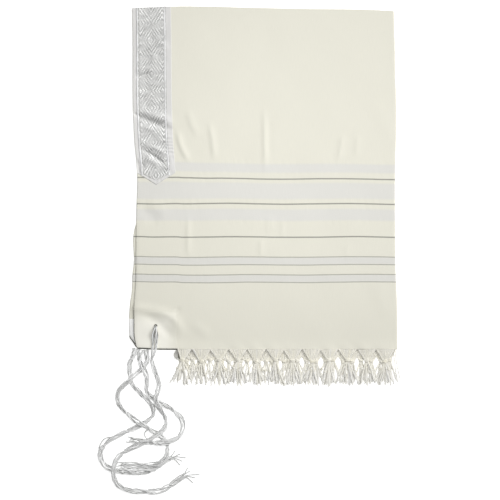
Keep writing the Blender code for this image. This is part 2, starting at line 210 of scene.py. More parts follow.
def smooth_path(points: Sequence[Sequence[float]], step: float) -> Array:
    """Read evenly spaced points from the smooth curve through a route.

    Args:
        points: The route's own points.
        step: Distance between the points that are read, in the route's unit.

    Returns:
        One row for each point.
    """
    route = np.array(points, float)
    reach = reach_along(route)
    places = np.linspace(0, reach[-1], max(2, round(reach[-1] / step) + 1))
    return np.stack([SmoothLine(reach, axis)(places) for axis in route.T], axis=1)


@dataclass(frozen=True)
class Ripples:
    """Soft uneven waves, added up from a few sines with fixed random directions."""

    scale: float
    height: float
    seed: int
    stretch: float = 1.0
    waves: int = 7

    def __call__(self, across: Array, up: Array) -> Array:
        """Add up the waves.

        Args:
            across, up: Distances across and up the cloth.

        Returns:
            Height of the waves at each place.
        """
        random = np.random.default_rng(self.seed)
        total = np.zeros(np.broadcast(across, up).shape)
        for _ in range(self.waves):
            turn = random.uniform(0, 2 * math.pi)
            length = self.scale * random.uniform(0.65, 1.5)
            along = math.cos(turn) * across + math.sin(turn) * up / self.stretch
            total += np.sin(2 * math.pi * along / length + random.uniform(0, 2 * math.pi))
        return self.height * total / math.sqrt(self.waves)


def add_piece(name: str, mesh: bpy.types.Mesh, material: Material | None = None) -> Piece:
    """Link a mesh as a named object.

    Args:
        name: The object's name.
        mesh: Its mesh.
        material: Its only material, where the mesh has none yet.

    Returns:
        The new object.
    """
    piece = bpy.data.objects.new(name, mesh)
    bpy.context.scene.collection.objects.link(piece)
    if material:
        mesh.materials.clear()
        mesh.materials.append(material)
    return piece


def grid_piece(
    name: str,
    points: Array,
    across: Array,
    up: Array,
    material: Material,
    keep: Callable[[Array], Array] | None = None,
    painted_slope_light: Array | None = None,
) -> Piece:
    """Make a sheet from a grid of points, with its flat places as its UV map.

    Args:
        name: The object's name.
        points: Points in millimetres, rows by columns by three.
        across, up: Distances of each point across and up the flat cloth, in millimetres.
        material: The sheet's finish.
        keep: Says for the flat middle of each face whether it is cloth or a hole.
        painted_slope_light: Painted light and shade of each point, from 0 to 1, which the finish scales its
            colour by.

    Returns:
        The sheet.
    """
    rows, columns = points.shape[:2]
    index = np.arange(rows * columns).reshape(rows, columns)
    faces = np.stack([index[:-1, :-1], index[:-1, 1:], index[1:, 1:], index[1:, :-1]], axis=-1).reshape(-1, 4)
    places = np.stack([across, up], axis=-1).reshape(-1, 2)
    if keep is not None:
        faces = faces[keep(places[faces].mean(axis=1))]
    mesh = bpy.data.meshes.new(name)
    mesh.from_pydata((points.reshape(-1, 3) * MM).tolist(), [], faces.tolist())
    layer = mesh.uv_layers.new(name="flat")
    layer.data.foreach_set("uv", (places[faces.reshape(-1)] * MM).astype(np.float32).ravel())
    # Painted light and shade, kept as a point attribute for the finish.
    if painted_slope_light is not None:
        mark = mesh.attributes.new("painted_slope_light", "FLOAT", "POINT")
        mark.data.foreach_set("value", painted_slope_light.astype(np.float32).ravel())
    mesh.shade_smooth()
    return add_piece(name, mesh, material)


def thicken(piece: Piece, wall: float) -> None:
    """Give a sheet its wall, inwards from its outer face, as real geometry.

    Args:
        piece: The sheet.
        wall: The wall's thickness in millimetres, below 0 for outwards.
    """
    modifier = piece.modifiers.new("wall", "SOLIDIFY")
    modifier.thickness = wall * MM
    modifier.offset = -1
    modifier.use_even_offset = True
    mesh = bpy.data.meshes.new_from_object(piece.evaluated_get(bpy.context.evaluated_depsgraph_get()))
    thin = piece.data
    piece.modifiers.clear()
    piece.data = mesh
    mesh.name = piece.name
    bpy.data.meshes.remove(thin)


def hand_over(piece: Piece, slot: Slot, *nodes: str) -> Piece:
    """Put a finished piece on the body, and report it.

    Args:
        piece: The finished piece.
        slot: Its material slot, not used.
        nodes: The CAD nodes that it stands for.

    Returns:
        The same piece.
    """
    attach(piece, BODY)
    if nodes:
        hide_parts(*nodes)
    LOG.info("%s: %d triangles", piece.name, sum(len(face.vertices) - 2 for face in piece.data.polygons))
    return piece


# ---- Finishes


def new_material(name: str) -> tuple[Material, Tree, Node]:
    """Start a material.

    Args:
        name: Its name.

    Returns:
        The material, its tree and its shader.
    """
    material = bpy.data.materials.new(name)
    material.use_nodes = True
    return material, material.node_tree, material.node_tree.nodes["Principled BSDF"]


def dress(tree: Tree, shader: Node, bump: tuple[float, float], height: Source, looks: dict[str, Any]) -> None:
    """Give a shader its looks.

    Args:
        tree: The tree that holds the shader.
        shader: The shader.
        bump: Strength of the relief, and its depth in millimetres.
        height: Height of the relief.
        looks: The shader's other inputs.
    """
    strength, depth = bump
    relief = add_node(tree, BUMP, None, {"Strength": strength, "Distance": depth * MM, "Height": height})
    feed(tree, shader, {"Normal": relief, **looks})


def any_of(tree: Tree, value: Source, bands: Sequence[tuple[float, float]], blur: float = 0.5) -> Source:
    """Mark where a value lies in any of a set of bands.

    Args:
        tree: The tree that gets the nodes.
        value: The value, in metres.
        bands: Middle and width of each band, in millimetres.
        blur: Width of a band's soft border, in millimetres.

    Returns:
        What reads 1 inside the bands and 0 outside.
    """
    total = None
    for middle, width in bands:
        moved = add_node(tree, MATH, DIFFERENCE, {0: value, 1: middle * MM})
        gap = add_node(tree, MATH, {"operation": "ABSOLUTE"}, {0: moved})
        border = {1: (width - blur) / 2 * MM, 2: (width + blur) / 2 * MM, 3: 1.0, 4: 0.0}
        inside = add_node(tree, RANGE, EASED, {0: gap, **border})
        if total is not None:
            inside = add_node(tree, MATH, GREATEST, {0: total, 1: inside})
        total = inside
    return total


def streaks(tree: Tree, coordinates: Source, across: float, along: float) -> Source:
    """Draw uneven streaks of yarn.

    Args:
        tree: The tree that gets the nodes.
        coordinates: Where each point lies on the flat cloth.
        across: Spacing of the streaks across the cloth, in millimetres.
        along: Their spacing up the cloth.

    Returns:
        What reads from 0 to 1.
    """
    sizes = (1 / (across * MM), 1 / (along * MM), 1)
    stretched = add_node(tree, "ShaderNodeMapping", {"vector_type": "POINT"}, {0: coordinates, 3: sizes})
    return add_node(tree, NOISE, None, {"Vector": stretched, "Scale": 1.0, "Detail": 2.0})


def painted_light_share(tree: Tree, dull: float, bright: float) -> Source:
    """Share of the colour with painted light and shade, from dull on slopes turned away from the key light to
    bright on slopes turned to it.
    """
    mark = add_node(tree, "ShaderNodeAttribute", {"attribute_name": "painted_slope_light"}).outputs["Fac"]
    return add_node(tree, RANGE, None, {0: mark, 3: dull, 4: bright})


@dataclass(frozen=True)
class WoolFinish:
    """Fulled wool with stripes of silver thread and of satin weave.

    Woven loose, then washed and pressed, so the threads close up under a short nap: matt and creamy,
    with soft light in the nap at grazing angles. The satin stripes are smoother and cooler. Threads are
    0.5 mm apart on the real cloth, and are drawn at 1.4 mm so that they show.
    """

    wool: str = "#e2e0d3"
    satin: str = "#dad9d3"
    thread: str = "#8f8f87"
    thin_share: float = 0.8
    thread_spacing: float = 1.4
    slub_length: float = 26.0
    thin_lines: tuple[float, ...] = (182.0, 202.5, 229.5, 250.6)
    thick_lines: tuple[float, ...] = (305.0, 395.0, 463.0)
    thin_width: float = 2.6
    thick_width: float = 3.6
    waver: float = 0.9
    narrow_bands: tuple[tuple[float, float], ...] = ((192.2, 18.0), (240.0, 18.6))
    narrow_blur: float = 5.0
    wide_bands: tuple[tuple[float, float], ...] = ((365.0, 31.0), (430.0, 43.0), (492.0, 24.0))
    wide_blur: float = 9.0
    wool_roughness: float = 0.88
    satin_roughness: float = 0.5

    def stripes(self, tree: Tree, flat: Source) -> tuple[Source, Source]:
        """Mark the silver lines and the satin bands, which waver a little with the weft.

        Args:
            tree: The tree that gets the nodes.
            flat: Where each point lies on the flat cloth.

        Returns:
            What reads 1 on the lines, and what reads 1 on the bands.
        """
        up = add_node(tree, "ShaderNodeSeparateXYZ", None, {0: flat}).outputs[1]
        waver = add_node(tree, NOISE, None, {"Vector": flat, "Scale": 9.0, "Detail": 2.0})
        shift = add_node(tree, RANGE, None, {0: waver, 3: -self.waver * MM, 4: self.waver * MM})
        height = add_node(tree, MATH, SUM, {0: up, 1: shift})
        thin = any_of(tree, height, [(line, self.thin_width) for line in self.thin_lines])
        thick = any_of(tree, height, [(line, self.thick_width) for line in self.thick_lines])
        lines = add_node(tree, MATH, PRODUCT_AND_SUM, {0: thin, 1: self.thin_share, 2: thick})
        narrow = any_of(tree, height, self.narrow_bands, self.narrow_blur)
        wide = any_of(tree, height, self.wide_bands, self.wide_blur)
        satin = add_node(tree, MATH, GREATEST, {0: narrow, 1: wide})
        return lines, satin

    def make(self) -> Material:
        """Build the material.

        Returns:
            The material.
        """
        material, tree, shader = new_material("fulled wool with satin stripes")
        flat = add_node(tree, "ShaderNodeUVMap", {"uv_map": "flat"})
        lines, satin = self.stripes(tree, flat)
        warp = streaks(tree, flat, self.thread_spacing, self.slub_length)
        weft = streaks(tree, flat, self.slub_length, self.thread_spacing)
        nap = add_node(tree, NOISE, None, {"Vector": flat, "Scale": 260.0, "Detail": 3.0})
        cloud = add_node(tree, NOISE, None, {"Vector": flat, "Scale": 5.0, "Detail": 1.0})

        weaves = {0: satin, 6: linear(self.wool), 7: linear(self.satin)}
        ground = add_node(tree, MIX, COLOURS, weaves).outputs[2]
        shade = add_node(tree, RANGE, None, {0: cloud, 3: 0.985, 4: 1.015})
        slub = add_node(tree, RANGE, None, {0: warp, 3: 0.97, 4: 1.03})
        both = add_node(tree, MATH, PRODUCT, {0: shade, 1: slub})
        tinted = add_node(tree, VECTOR_MATH, SCALED, {0: ground, "Scale": both})
        spun = add_node(tree, RANGE, None, {0: weft, 3: 0.75, 4: 1.0})
        silver = add_node(tree, MATH, PRODUCT, {0: lines, 1: spun})
        colour = add_node(tree, MIX, COLOURS, {0: silver, 6: tinted, 7: linear(self.thread)}).outputs[2]

        weave = add_node(tree, MATH, SUM, {0: warp, 1: weft})
        surface = add_node(tree, MATH, SUM, {0: weave, 1: nap})
        rough = {0: satin, 3: self.wool_roughness, 4: self.satin_roughness}
        looks = {
            "Base Color": colour,
            "Roughness": add_node(tree, RANGE, None, rough),
            "Sheen Weight": 0.12,
            "Sheen Roughness": 0.5,
            "Specular IOR Level": 0.3,
        }
        dress(tree, shader, (0.35, 0.25), surface, looks)
        return material


@dataclass(frozen=True)
class SatinFinish:
    """Polyester satin: long floats of filament yarn along the band, smooth, cool and softly shining, with
    painted light and shade on its slopes.
    """

    ground: str = "#d4d3d1"
    floats: float = 1.1
    run: float = 30.0

    def make(self) -> Material:
        """Build the material.

        Returns:
            The material.
        """
        material, tree, shader = new_material("polyester satin")
        flat = add_node(tree, "ShaderNodeUVMap", {"uv_map": "flat"})
        yarn = streaks(tree, flat, self.floats, self.run)
        shade = add_node(tree, RANGE, None, {0: yarn, 3: 0.93, 4: 1.07})
        # Painted light and shade by the slope of each point.
        shine = painted_light_share(tree, 0.78, 1.22)
        both = add_node(tree, MATH, PRODUCT, {0: shade, 1: shine})
        looks = {
            "Base Color": add_node(tree, VECTOR_MATH, SCALED, {0: linear(self.ground)[:3], "Scale": both}),
            "Roughness": 0.36,
            "Specular IOR Level": 0.55,
            "Sheen Weight": 0.1,
        }
        dress(tree, shader, (0.4, 0.2), yarn, looks)
        return material


@dataclass(frozen=True)
class Diamonds:
    """One repeat of diamonds: its width and height, how many rings each has, and its share of the figure."""

    wide: float
    high: float
    rings: float
    share: float


@dataclass(frozen=True)
class Lozenges:
    """Layout of the brocade: big diamonds of nested rings, over a lattice of small ones."""

    middle: float = 51.5
    first: float = 470.0
    repeats: tuple[Diamonds, ...] = (Diamonds(60.0, 92.0, 3.8, 0.55), Diamonds(9.4, 11.0, 1.0, 0.45))
    edge: float = 0.25

    def threads(self, tree: Tree, across: Source, up: Source) -> Source:
        """Draw the figure with nodes.

        Args:
            tree: The tree that gets the nodes.
            across: Distance across the cloth, in metres.
            up: Distance up the cloth, in metres.

        Returns:
            How much silver thread lies on top, from 0 to 1.
        """
        waves = []
        for repeat in self.repeats:
            swings = []
            for value, middle, period in ((across, self.middle, repeat.wide), (up, self.first, repeat.high)):
                moved = add_node(tree, MATH, DIFFERENCE, {0: value, 1: middle * MM})
                swing = add_node(tree, MATH, {"operation": "PINGPONG"}, {0: moved, 1: period / 2 * MM})
                swings.append(add_node(tree, MATH, PRODUCT, {0: swing, 1: 2 / (period * MM)}))
            diamond = add_node(tree, MATH, SUM, {0: swings[0], 1: swings[1]})
            ring = add_node(tree, MATH, PRODUCT, {0: diamond, 1: 2 * math.pi * repeat.rings})
            wave = add_node(tree, MATH, {"operation": "SINE"}, {0: ring})
            waves.append(add_node(tree, MATH, PRODUCT, {0: wave, 1: repeat.share}))
        both = add_node(tree, MATH, SUM, {0: waves[0], 1: waves[1]})
        return add_node(tree, RANGE, EASED, {0: both, 1: -self.edge, 2: self.edge})

    def relief(self, across: Array, up: Array) -> Array:
        """Draw the same figure for the mesh.

        Args:
            across: Distances across the cloth, in millimetres.
            up: Distances up the cloth.

        Returns:
            How much silver thread lies on top, from 0 to 1.
        """
        both = np.zeros(np.shape(across))
        for repeat in self.repeats:
            diamond = np.zeros(np.shape(across))
            for value, middle, period in ((across, self.middle, repeat.wide), (up, self.first, repeat.high)):
                moved = np.mod(value - middle, period)
                diamond = diamond + np.minimum(moved, period - moved) * 2 / period
            both = both + repeat.share * np.sin(2 * math.pi * repeat.rings * diamond)
        return smooth(-self.edge, self.edge, both)


@dataclass(frozen=True)
class BrocadeFinish:
    """Rayon and metallised thread brocade: bright floats stand on a darker, duller ground.

    The figure shows wear and is crushed, so it is clear in some places and almost gone in others.
    """

    ground: str = "#a6a6a4"
    figure: str = "#ececea"
    border: str = "#acacaa"
    border_lines: tuple[float, ...] = (17.9, 91.6)
    border_width: float = 2.4
    blotch: float = 17.0
    worn_away: float = 0.45
    drawing: Lozenges = field(default_factory=Lozenges)

    def shine(self, tree: Tree, flat: Source, weft: Source) -> Source:
        """Shade the threads by their weft and the crushed places, and paint light and shade on the slopes of
        the creases.

        Args:
            tree: The tree that gets the nodes.
            flat: Where each point lies on the flat cloth.
            weft: Streaks of the weft.

        Returns:
            The share of the colour.
        """
        shade = add_node(tree, RANGE, None, {0: weft, 3: 0.84, 4: 1.16})
        cloud = streaks(tree, flat, 19.0, 12.0)
        crushed = add_node(tree, RANGE, None, {0: cloud, 1: 0.3, 2: 0.7, 3: 0.84, 4: 1.12})
        both = add_node(tree, MATH, PRODUCT, {0: shade, 1: crushed})
        return add_node(tree, MATH, PRODUCT, {0: both, 1: painted_light_share(tree, 0.66, 1.3)})

    def make(self) -> Material:
        """Build the material.

        Returns:
            The material.
        """
        material, tree, shader = new_material("silver thread brocade")
        flat = add_node(tree, "ShaderNodeUVMap", {"uv_map": "flat"})
        across, up, _ = add_node(tree, "ShaderNodeSeparateXYZ", None, {0: flat}).outputs
        figure = self.drawing.threads(tree, across, up)
        wear = add_node(tree, NOISE, None, {"Vector": flat, "Scale": 1 / (self.blotch * MM), "Detail": 2.0})
        clear = add_node(tree, RANGE, EASED, {0: wear, 1: 0.38, 2: 0.62})
        wears = {0: clear, 6: (*[self.worn_away] * 3, 1.0), 7: figure}
        faded = add_node(tree, MIX, COLOURS, wears).outputs[2]
        weft = streaks(tree, flat, 9.0, 1.6)
        threads = {0: faded, 6: linear(self.ground), 7: linear(self.figure)}
        figured = add_node(tree, MIX, COLOURS, threads).outputs[2]
        edges = any_of(tree, across, [(line, self.border_width) for line in self.border_lines])
        edged = add_node(tree, MIX, COLOURS, {0: edges, 6: figured, 7: linear(self.border)}).outputs[2]
        lit = {0: edged, "Scale": self.shine(tree, flat, weft)}
        height = add_node(tree, MATH, SUM, {0: figure, 1: weft})
        looks = {
            "Base Color": add_node(tree, VECTOR_MATH, SCALED, lit),
            "Roughness": add_node(tree, RANGE, None, {0: figure, 3: 0.6, 4: 0.34}),
            "Specular IOR Level": 0.6,
        }
        dress(tree, shader, (0.6, 0.3), height, looks)
        return material


@dataclass(frozen=True)
class PatchFinish:
    """Rayon lining twill, sewn on as a reinforcement: closer and a little smoother than the wool.

    Near its upper and inner edges it goes over to a darker colour, close to the wool's.
    """

    ground: str = "#f2f0e6"
    edge_tint: str = "#e3e1d4"
    width: float = 118.0
    height: float = 103.0
    edge_tint_width: float = 46.0
    rib: float = 1.7

    def make(self) -> Material:
        """Build the material.

        Returns:
            The material.
        """
        material, tree, shader = new_material("rayon lining twill")
        flat = add_node(tree, "ShaderNodeUVMap", {"uv_map": "flat"})
        turned = add_node(tree, "ShaderNodeMapping", None, {0: flat, 2: (0, 0, math.radians(45))})
        rib = add_node(
            tree,
            "ShaderNodeTexWave",
            {"wave_type": "BANDS", "bands_direction": "X"},
            {"Vector": turned, "Scale": 0.31 / (self.rib * MM), "Distortion": 1.5, "Detail": 1.0},
        ).outputs["Fac"]
        cloud = add_node(tree, NOISE, None, {"Vector": flat, "Scale": 40.0, "Detail": 2.0})
        shade = add_node(tree, RANGE, None, {0: cloud, 3: 0.97, 4: 1.03})
        across, up, _ = add_node(tree, "ShaderNodeSeparateXYZ", None, {0: flat}).outputs
        inner = add_node(tree, MATH, DIFFERENCE, {0: self.width * MM, 1: across})
        upper = add_node(tree, MATH, DIFFERENCE, {0: self.height * MM, 1: up})
        nearest = add_node(tree, MATH, LEAST, {0: inner, 1: upper})
        clear = add_node(tree, RANGE, EASED, {0: nearest, 1: 0.0, 2: self.edge_tint_width * MM})
        cloths = {0: clear, 6: linear(self.edge_tint), 7: linear(self.ground)}
        twill = add_node(tree, MIX, COLOURS, cloths).outputs[2]
        looks = {
            "Base Color": add_node(tree, VECTOR_MATH, SCALED, {0: twill, "Scale": shade}),
            "Roughness": 0.62,
            "Sheen Weight": 0.1,
        }
        dress(tree, shader, (0.25, 0.15), rib, looks)
        return material


@dataclass(frozen=True)
class YarnFinish:
    """Spun yarn: matt fibres, each cord a little lighter or darker than the next.

    It reads each cord's own draw and its tone along its length, which is partly painted light and shade.
    Tones below 0 go over to the shade colour, which is painted shade.
    """

    name: str
    dark: str
    light: str
    shade_colour: str = "#6e6c62"
    fibre: float = 0.9
    draw_share: float = 0.4
    tone_share: float = 0.6

    def make(self) -> Material:
        """Build the material.

        Returns:
            The material.
        """
        material, tree, shader = new_material(self.name)
        strand = add_node(tree, "ShaderNodeAttribute", {"attribute_name": "strand"}).outputs["Fac"]
        tone = add_node(tree, "ShaderNodeAttribute", {"attribute_name": "tone"}).outputs["Fac"]
        own = add_node(tree, MATH, PRODUCT, {0: strand, 1: self.draw_share})
        light = {0: tone, 1: self.tone_share, 2: own}
        share = add_node(tree, MATH, PRODUCT_AND_SUM, light)
        place = add_node(tree, "ShaderNodeTexCoord").outputs["Object"]
        fuzz = add_node(tree, NOISE, None, {"Vector": place, "Scale": 1 / (self.fibre * MM), "Detail": 2.0})
        spins = {0: share, 6: linear(self.dark), 7: linear(self.light)}
        spun = add_node(tree, MIX, COLOURS, spins).outputs[2]
        # Painted shade: tones below 0 go over to the shade colour.
        into_painted_shade = add_node(tree, RANGE, None, {0: tone, 1: -1.0, 2: 0.0, 3: 1.0, 4: 0.0})
        colour = add_node(tree, MIX, COLOURS, {0: into_painted_shade, 6: spun, 7: linear(self.shade_colour)}).outputs[2]
        shade = add_node(tree, RANGE, None, {0: fuzz, 3: 0.9, 4: 1.1})
        looks = {
            "Base Color": add_node(tree, VECTOR_MATH, SCALED, {0: colour, "Scale": shade}),
            "Roughness": 0.85,
            "Sheen Weight": 0.25,
        }
        dress(tree, shader, (0.5, 0.3), fuzz, looks)
        return material


# ---- Geometry Nodes: plied cords and rows of stitches


@dataclass
class Guide:
    """Line that a cord or a row of stitches follows, in metres.

    girth is its thickness at each point, as a share of the tree's own. tone is its lightness from 0 to
    1, partly painted light and shade, and is below 0 where painted shade darkens it further.
    """

    points: Array
    girth: Array | None = None
    tone: Array | None = None


class GuidedTree:
    """Geometry Nodes tree that turns guide lines into a piece."""

    title = ""
    sizes: tuple[tuple[str, str], ...] = ()

    def __init__(self) -> None:
        """Start the tree with its named inputs, then let the subclass fill it."""
        self.tree = bpy.data.node_groups.new(self.title, "GeometryNodeTree")
        self.tree.interface.new_socket(name="Guides", in_out="INPUT", socket_type="NodeSocketGeometry")
        for name, kind in self.sizes:
            self.tree.interface.new_socket(name=name, in_out="INPUT", socket_type=kind)
        self.tree.interface.new_socket(name="Piece", in_out="OUTPUT", socket_type="NodeSocketGeometry")
        self.source = add_node(self.tree, "NodeGroupInput")
        self.fill()

    def fill(self) -> None:
        """Add the nodes between the guides and the piece."""
        raise NotImplementedError

    def end(self, geometry: Source) -> None:
        """Finish the tree: real geometry, shaded smooth, with its material.

        Args:
            geometry: What the subclass has made.
        """
        real = add_node(self.tree, "GeometryNodeRealizeInstances", None, {0: geometry})
        rounded = add_node(self.tree, "GeometryNodeSetShadeSmooth", None, {0: real})
        coat = {0: rounded, "Material": self.source.outputs["Material"]}
        dressed = add_node(self.tree, "GeometryNodeSetMaterial", None, coat)
        add_node(self.tree, "NodeGroupOutput", None, {0: dressed})

    def grow(self, name: str, guides: Sequence[Guide], **sizes: Any) -> Piece:
        """Run the tree over guides and keep the result as a plain mesh.

        Args:
            name: The new object's name.
            guides: The lines to follow.
            sizes: The tree's inputs by name, with _ for a space.

        Returns:
            The new object.
        """
        points = np.concatenate([guide.points for guide in guides])
        girth = np.concatenate([np.ones(len(g.points)) if g.girth is None else g.girth for g in guides])
        tone = np.concatenate([np.full(len(g.points), 0.5) if g.tone is None else g.tone for g in guides])
        edges, base = [], 0
        for guide in guides:
            edges += [(base + i, base + i + 1) for i in range(len(guide.points) - 1)]
            base += len(guide.points)
        mesh = bpy.data.meshes.new(name + "_guides")
        mesh.from_pydata(points.tolist(), edges, [])
        for mark, values in (("girth", girth), ("tone", tone)):
            mesh.attributes.new(mark, "FLOAT", "POINT").data.foreach_set("value", values.astype(np.float32))
        holder = add_piece(name + "_guides", mesh)
        modifier = holder.modifiers.new(self.title, "NODES")
        modifier.node_group = self.tree
        for item in self.tree.interface.items_tree:
            value = sizes.get(item.name.replace(" ", "_").lower())
            if item.in_out == "INPUT" and value is not None:
                modifier[item.identifier] = value
        evaluated = holder.evaluated_get(bpy.context.evaluated_depsgraph_get())
        grown = bpy.data.meshes.new_from_object(evaluated)
        grown.name = name
        bpy.data.objects.remove(holder, do_unlink=True)
        bpy.data.meshes.remove(mesh)
        return add_piece(name, grown)


class PliedCordTree(GuidedTree):
    """Cord of three plies twisted together, swept along each guide."""

    title = "plied cord"
    sizes = (
        ("Diameter", "NodeSocketFloat"),
        ("Lay", "NodeSocketFloat"),
        ("Step", "NodeSocketFloat"),
        ("Seed", "NodeSocketInt"),
        ("Material", "NodeSocketMaterial"),
    )
    plies = 3
    groove = 0.74

    def fill(self) -> None:
        """Resample each guide, twist it by its length over the lay, and sweep a lobed section."""
        tree, sizes = self.tree, self.source.outputs
        lines = add_node(tree, "GeometryNodeMeshToCurve", None, {0: sizes["Guides"]})
        spacing = {0: lines, "Length": sizes["Step"]}
        even = add_node(tree, "GeometryNodeResampleCurve", {"mode": "LENGTH"}, spacing)
        reach = add_node(tree, "GeometryNodeSplineParameter").outputs["Length"]
        owner = add_node(tree, "GeometryNodeCurveOfPoint").outputs["Curve Index"]
        drawn = {"ID": owner, "Seed": sizes["Seed"]}
        draw = add_node(tree, "FunctionNodeRandomValue", NUMBER, drawn).outputs[1]
        start = add_node(tree, MATH, PRODUCT, {0: draw, 1: 2 * math.pi})
        turns = add_node(tree, MATH, {"operation": "DIVIDE"}, {0: reach, 1: sizes["Lay"]})
        angle = add_node(tree, MATH, PRODUCT_AND_SUM, {0: turns, 1: 2 * math.pi, 2: start})
        on_points = {"data_type": "FLOAT", "domain": "POINT"}
        mark = {0: even, "Name": "strand", "Value": draw}
        marked = add_node(tree, "GeometryNodeStoreNamedAttribute", on_points, mark)
        twisted = add_node(tree, "GeometryNodeSetCurveTilt", None, {0: marked, "Tilt": angle})
        outer = add_node(tree, MATH, PRODUCT, {0: sizes["Diameter"], 1: 0.5})
        inner = add_node(tree, MATH, PRODUCT, {0: outer, 1: self.groove})
        lobes = {"Points": self.plies, "Inner Radius": inner, "Outer Radius": outer}
        section = add_node(tree, "GeometryNodeCurveStar", None, lobes)
        girth = add_node(tree, "GeometryNodeInputNamedAttribute", NUMBER, {"Name": "girth"})
        sweep = {0: twisted, "Profile Curve": section, "Scale": girth, "Fill Caps": True}
        self.end(add_node(tree, "GeometryNodeCurveToMesh", None, sweep))


class StitchRowTree(GuidedTree):
    """Row of short stitches along each guide."""

    title = "stitch row"
    sizes = (
        ("Pitch", "NodeSocketFloat"),
        ("Length", "NodeSocketFloat"),
        ("Thickness", "NodeSocketFloat"),
        ("Material", "NodeSocketMaterial"),
    )

    def fill(self) -> None:
        """Lay a rounded stitch at each step along the guide, turned to follow it."""
        tree, sizes = self.tree, self.source.outputs
        lines = add_node(tree, "GeometryNodeMeshToCurve", None, {0: sizes["Guides"]})
        spacing = {0: lines, "Length": sizes["Pitch"]}
        even = add_node(tree, "GeometryNodeResampleCurve", {"mode": "LENGTH"}, spacing)
        ball = add_node(tree, "GeometryNodeMeshIcoSphere", None, {"Radius": 0.5, "Subdivisions": 1})
        sides = {0: sizes["Length"], 1: sizes["Thickness"], 2: sizes["Thickness"]}
        shape = add_node(tree, "ShaderNodeCombineXYZ", None, sides)
        tangent = add_node(tree, "GeometryNodeInputTangent")
        turn = add_node(tree, "FunctionNodeAlignRotationToVector", {"axis": "X"}, {"Vector": tangent})
        stitches = {"Points": even, "Instance": ball, "Rotation": turn, "Scale": shape}
        self.end(add_node(tree, "GeometryNodeInstanceOnPoints", None, stitches))


# ---- The form of the folded cloth


@dataclass(frozen=True)
class EdgeRow:
    """Where each quarter's long edge lies, at a height above the hem."""

    up: float
    front: float
    second: float
    back: float


LONG_EDGE = (
    EdgeRow(0.0, -341.3, -342.5, -339.0),
    EdgeRow(13.0, -345.6, -349.4, -343.0),
    EdgeRow(28.0, -348.3, -360.0, -346.0),
    EdgeRow(38.0, -349.4, -362.2, -347.0),
    EdgeRow(79.0, -349.7, -362.6, -347.3),
    EdgeRow(103.0, -349.9, -362.0, -347.5),
    EdgeRow(130.0, -348.8, -359.4, -346.5),
    EdgeRow(147.0, -347.8, -356.5, -345.5),
    EdgeRow(174.0, -345.9, -354.4, -343.5),
    EdgeRow(198.0, -345.1, -354.0, -342.6),
    EdgeRow(238.0, -344.9, -350.0, -342.4),
    EdgeRow(295.0, -344.6, -351.8, -342.2),
    EdgeRow(322.0, -344.1, -349.0, -341.6),
    EdgeRow(348.0, -343.6, -342.5, -341.1),
    EdgeRow(392.0, -342.6, -340.1, -340.1),
    EdgeRow(462.0, -340.6, -338.1, -338.1),
    EdgeRow(498.0, -343.0, -340.5, -340.5),
    EdgeRow(530.0, -345.6, -343.1, -343.1),
    EdgeRow(565.0, -348.9, -346.4, -346.4),
    EdgeRow(619.0, -351.4, -348.9, -348.9),
    EdgeRow(670.0, -353.2, -350.7, -350.7),
    EdgeRow(743.0, -353.6, -351.1, -351.1),
    EdgeRow(835.0, -353.6, -351.1, -351.1),
    EdgeRow(925.0, -354.8, -352.3, -352.3),
)
WIDTH_FOLD = SmoothLine(
    (0, 74, 149, 225, 376, 452, 527, 603, 678, 752, 830, 925),
    (362.2, 362.4, 360.6, 357.6, 356.3, 356.1, 357.6, 359.5, 359.4, 357.1, 355.8, 353.2),
)
LENGTH_FOLD = SmoothLine(
    (0, 60, 121, 175, 229, 310, 391, 453, 629, 710),
    (507.7, 509.6, 512.9, 512.9, 512.0, 509.6, 507.8, 506.5, 504.2, 500.6),
)
HEM = SmoothLine(
    (0, 20, 45, 100, 114, 130, 300, 710),
    (-408.4, -409.2, -410.6, -411.2, -411.6, -413.4, -413.8, -413.8),
)


@dataclass(frozen=True)
class Window:
    """Stretch where something acts: it comes in over one run and goes out over another."""

    start: float
    whole: float
    fading: float
    end: float

    def __call__(self, at: Array) -> Array:
        """Share of its full effect at each place."""
        return smooth(self.start, self.whole, at) * smooth(self.end, self.fading, at)


@dataclass(frozen=True)
class Crease:
    """Soft ridge, or trough where its height is below 0, along a short line on the cloth.

    steep is how much narrower its left side is than its right one.
    """

    line: tuple[tuple[float, float], ...]
    height: float
    width: float
    steep: float = 0.6

    def __call__(self, across: Array, up: Array) -> Array:
        """Measure the crease.

        Args:
            across, up: Distances across and up the cloth.

        Returns:
            Height of the crease at each place.
        """
        line = smooth_path(self.line, 12.0)
        reach = reach_along(line)
        nearest = np.full(across.shape, 1e9)
        side = np.zeros(across.shape)
        share = np.zeros(across.shape)
        for i, (start, end) in enumerate(zip(line, line[1:])):
            way = end - start
            length = float(way @ way)
            at = np.clip(((across - start[0]) * way[0] + (up - start[1]) * way[1]) / length, 0, 1)
            gap_x = across - start[0] - at * way[0]
            gap_y = up - start[1] - at * way[1]
            gap = np.hypot(gap_x, gap_y)
            closer = gap < nearest
            nearest = np.where(closer, gap, nearest)
            side = np.where(closer, gap_x, side)
            share = np.where(closer, (reach[i] + at * math.sqrt(length)) / reach[-1], share)
        spread = np.where(side < 0, self.width * self.steep, self.width)
        ends = smooth(0, 0.35, share) * smooth(1, 0.65, share)
        return self.height * np.exp(-((nearest / spread) ** 2)) * ends


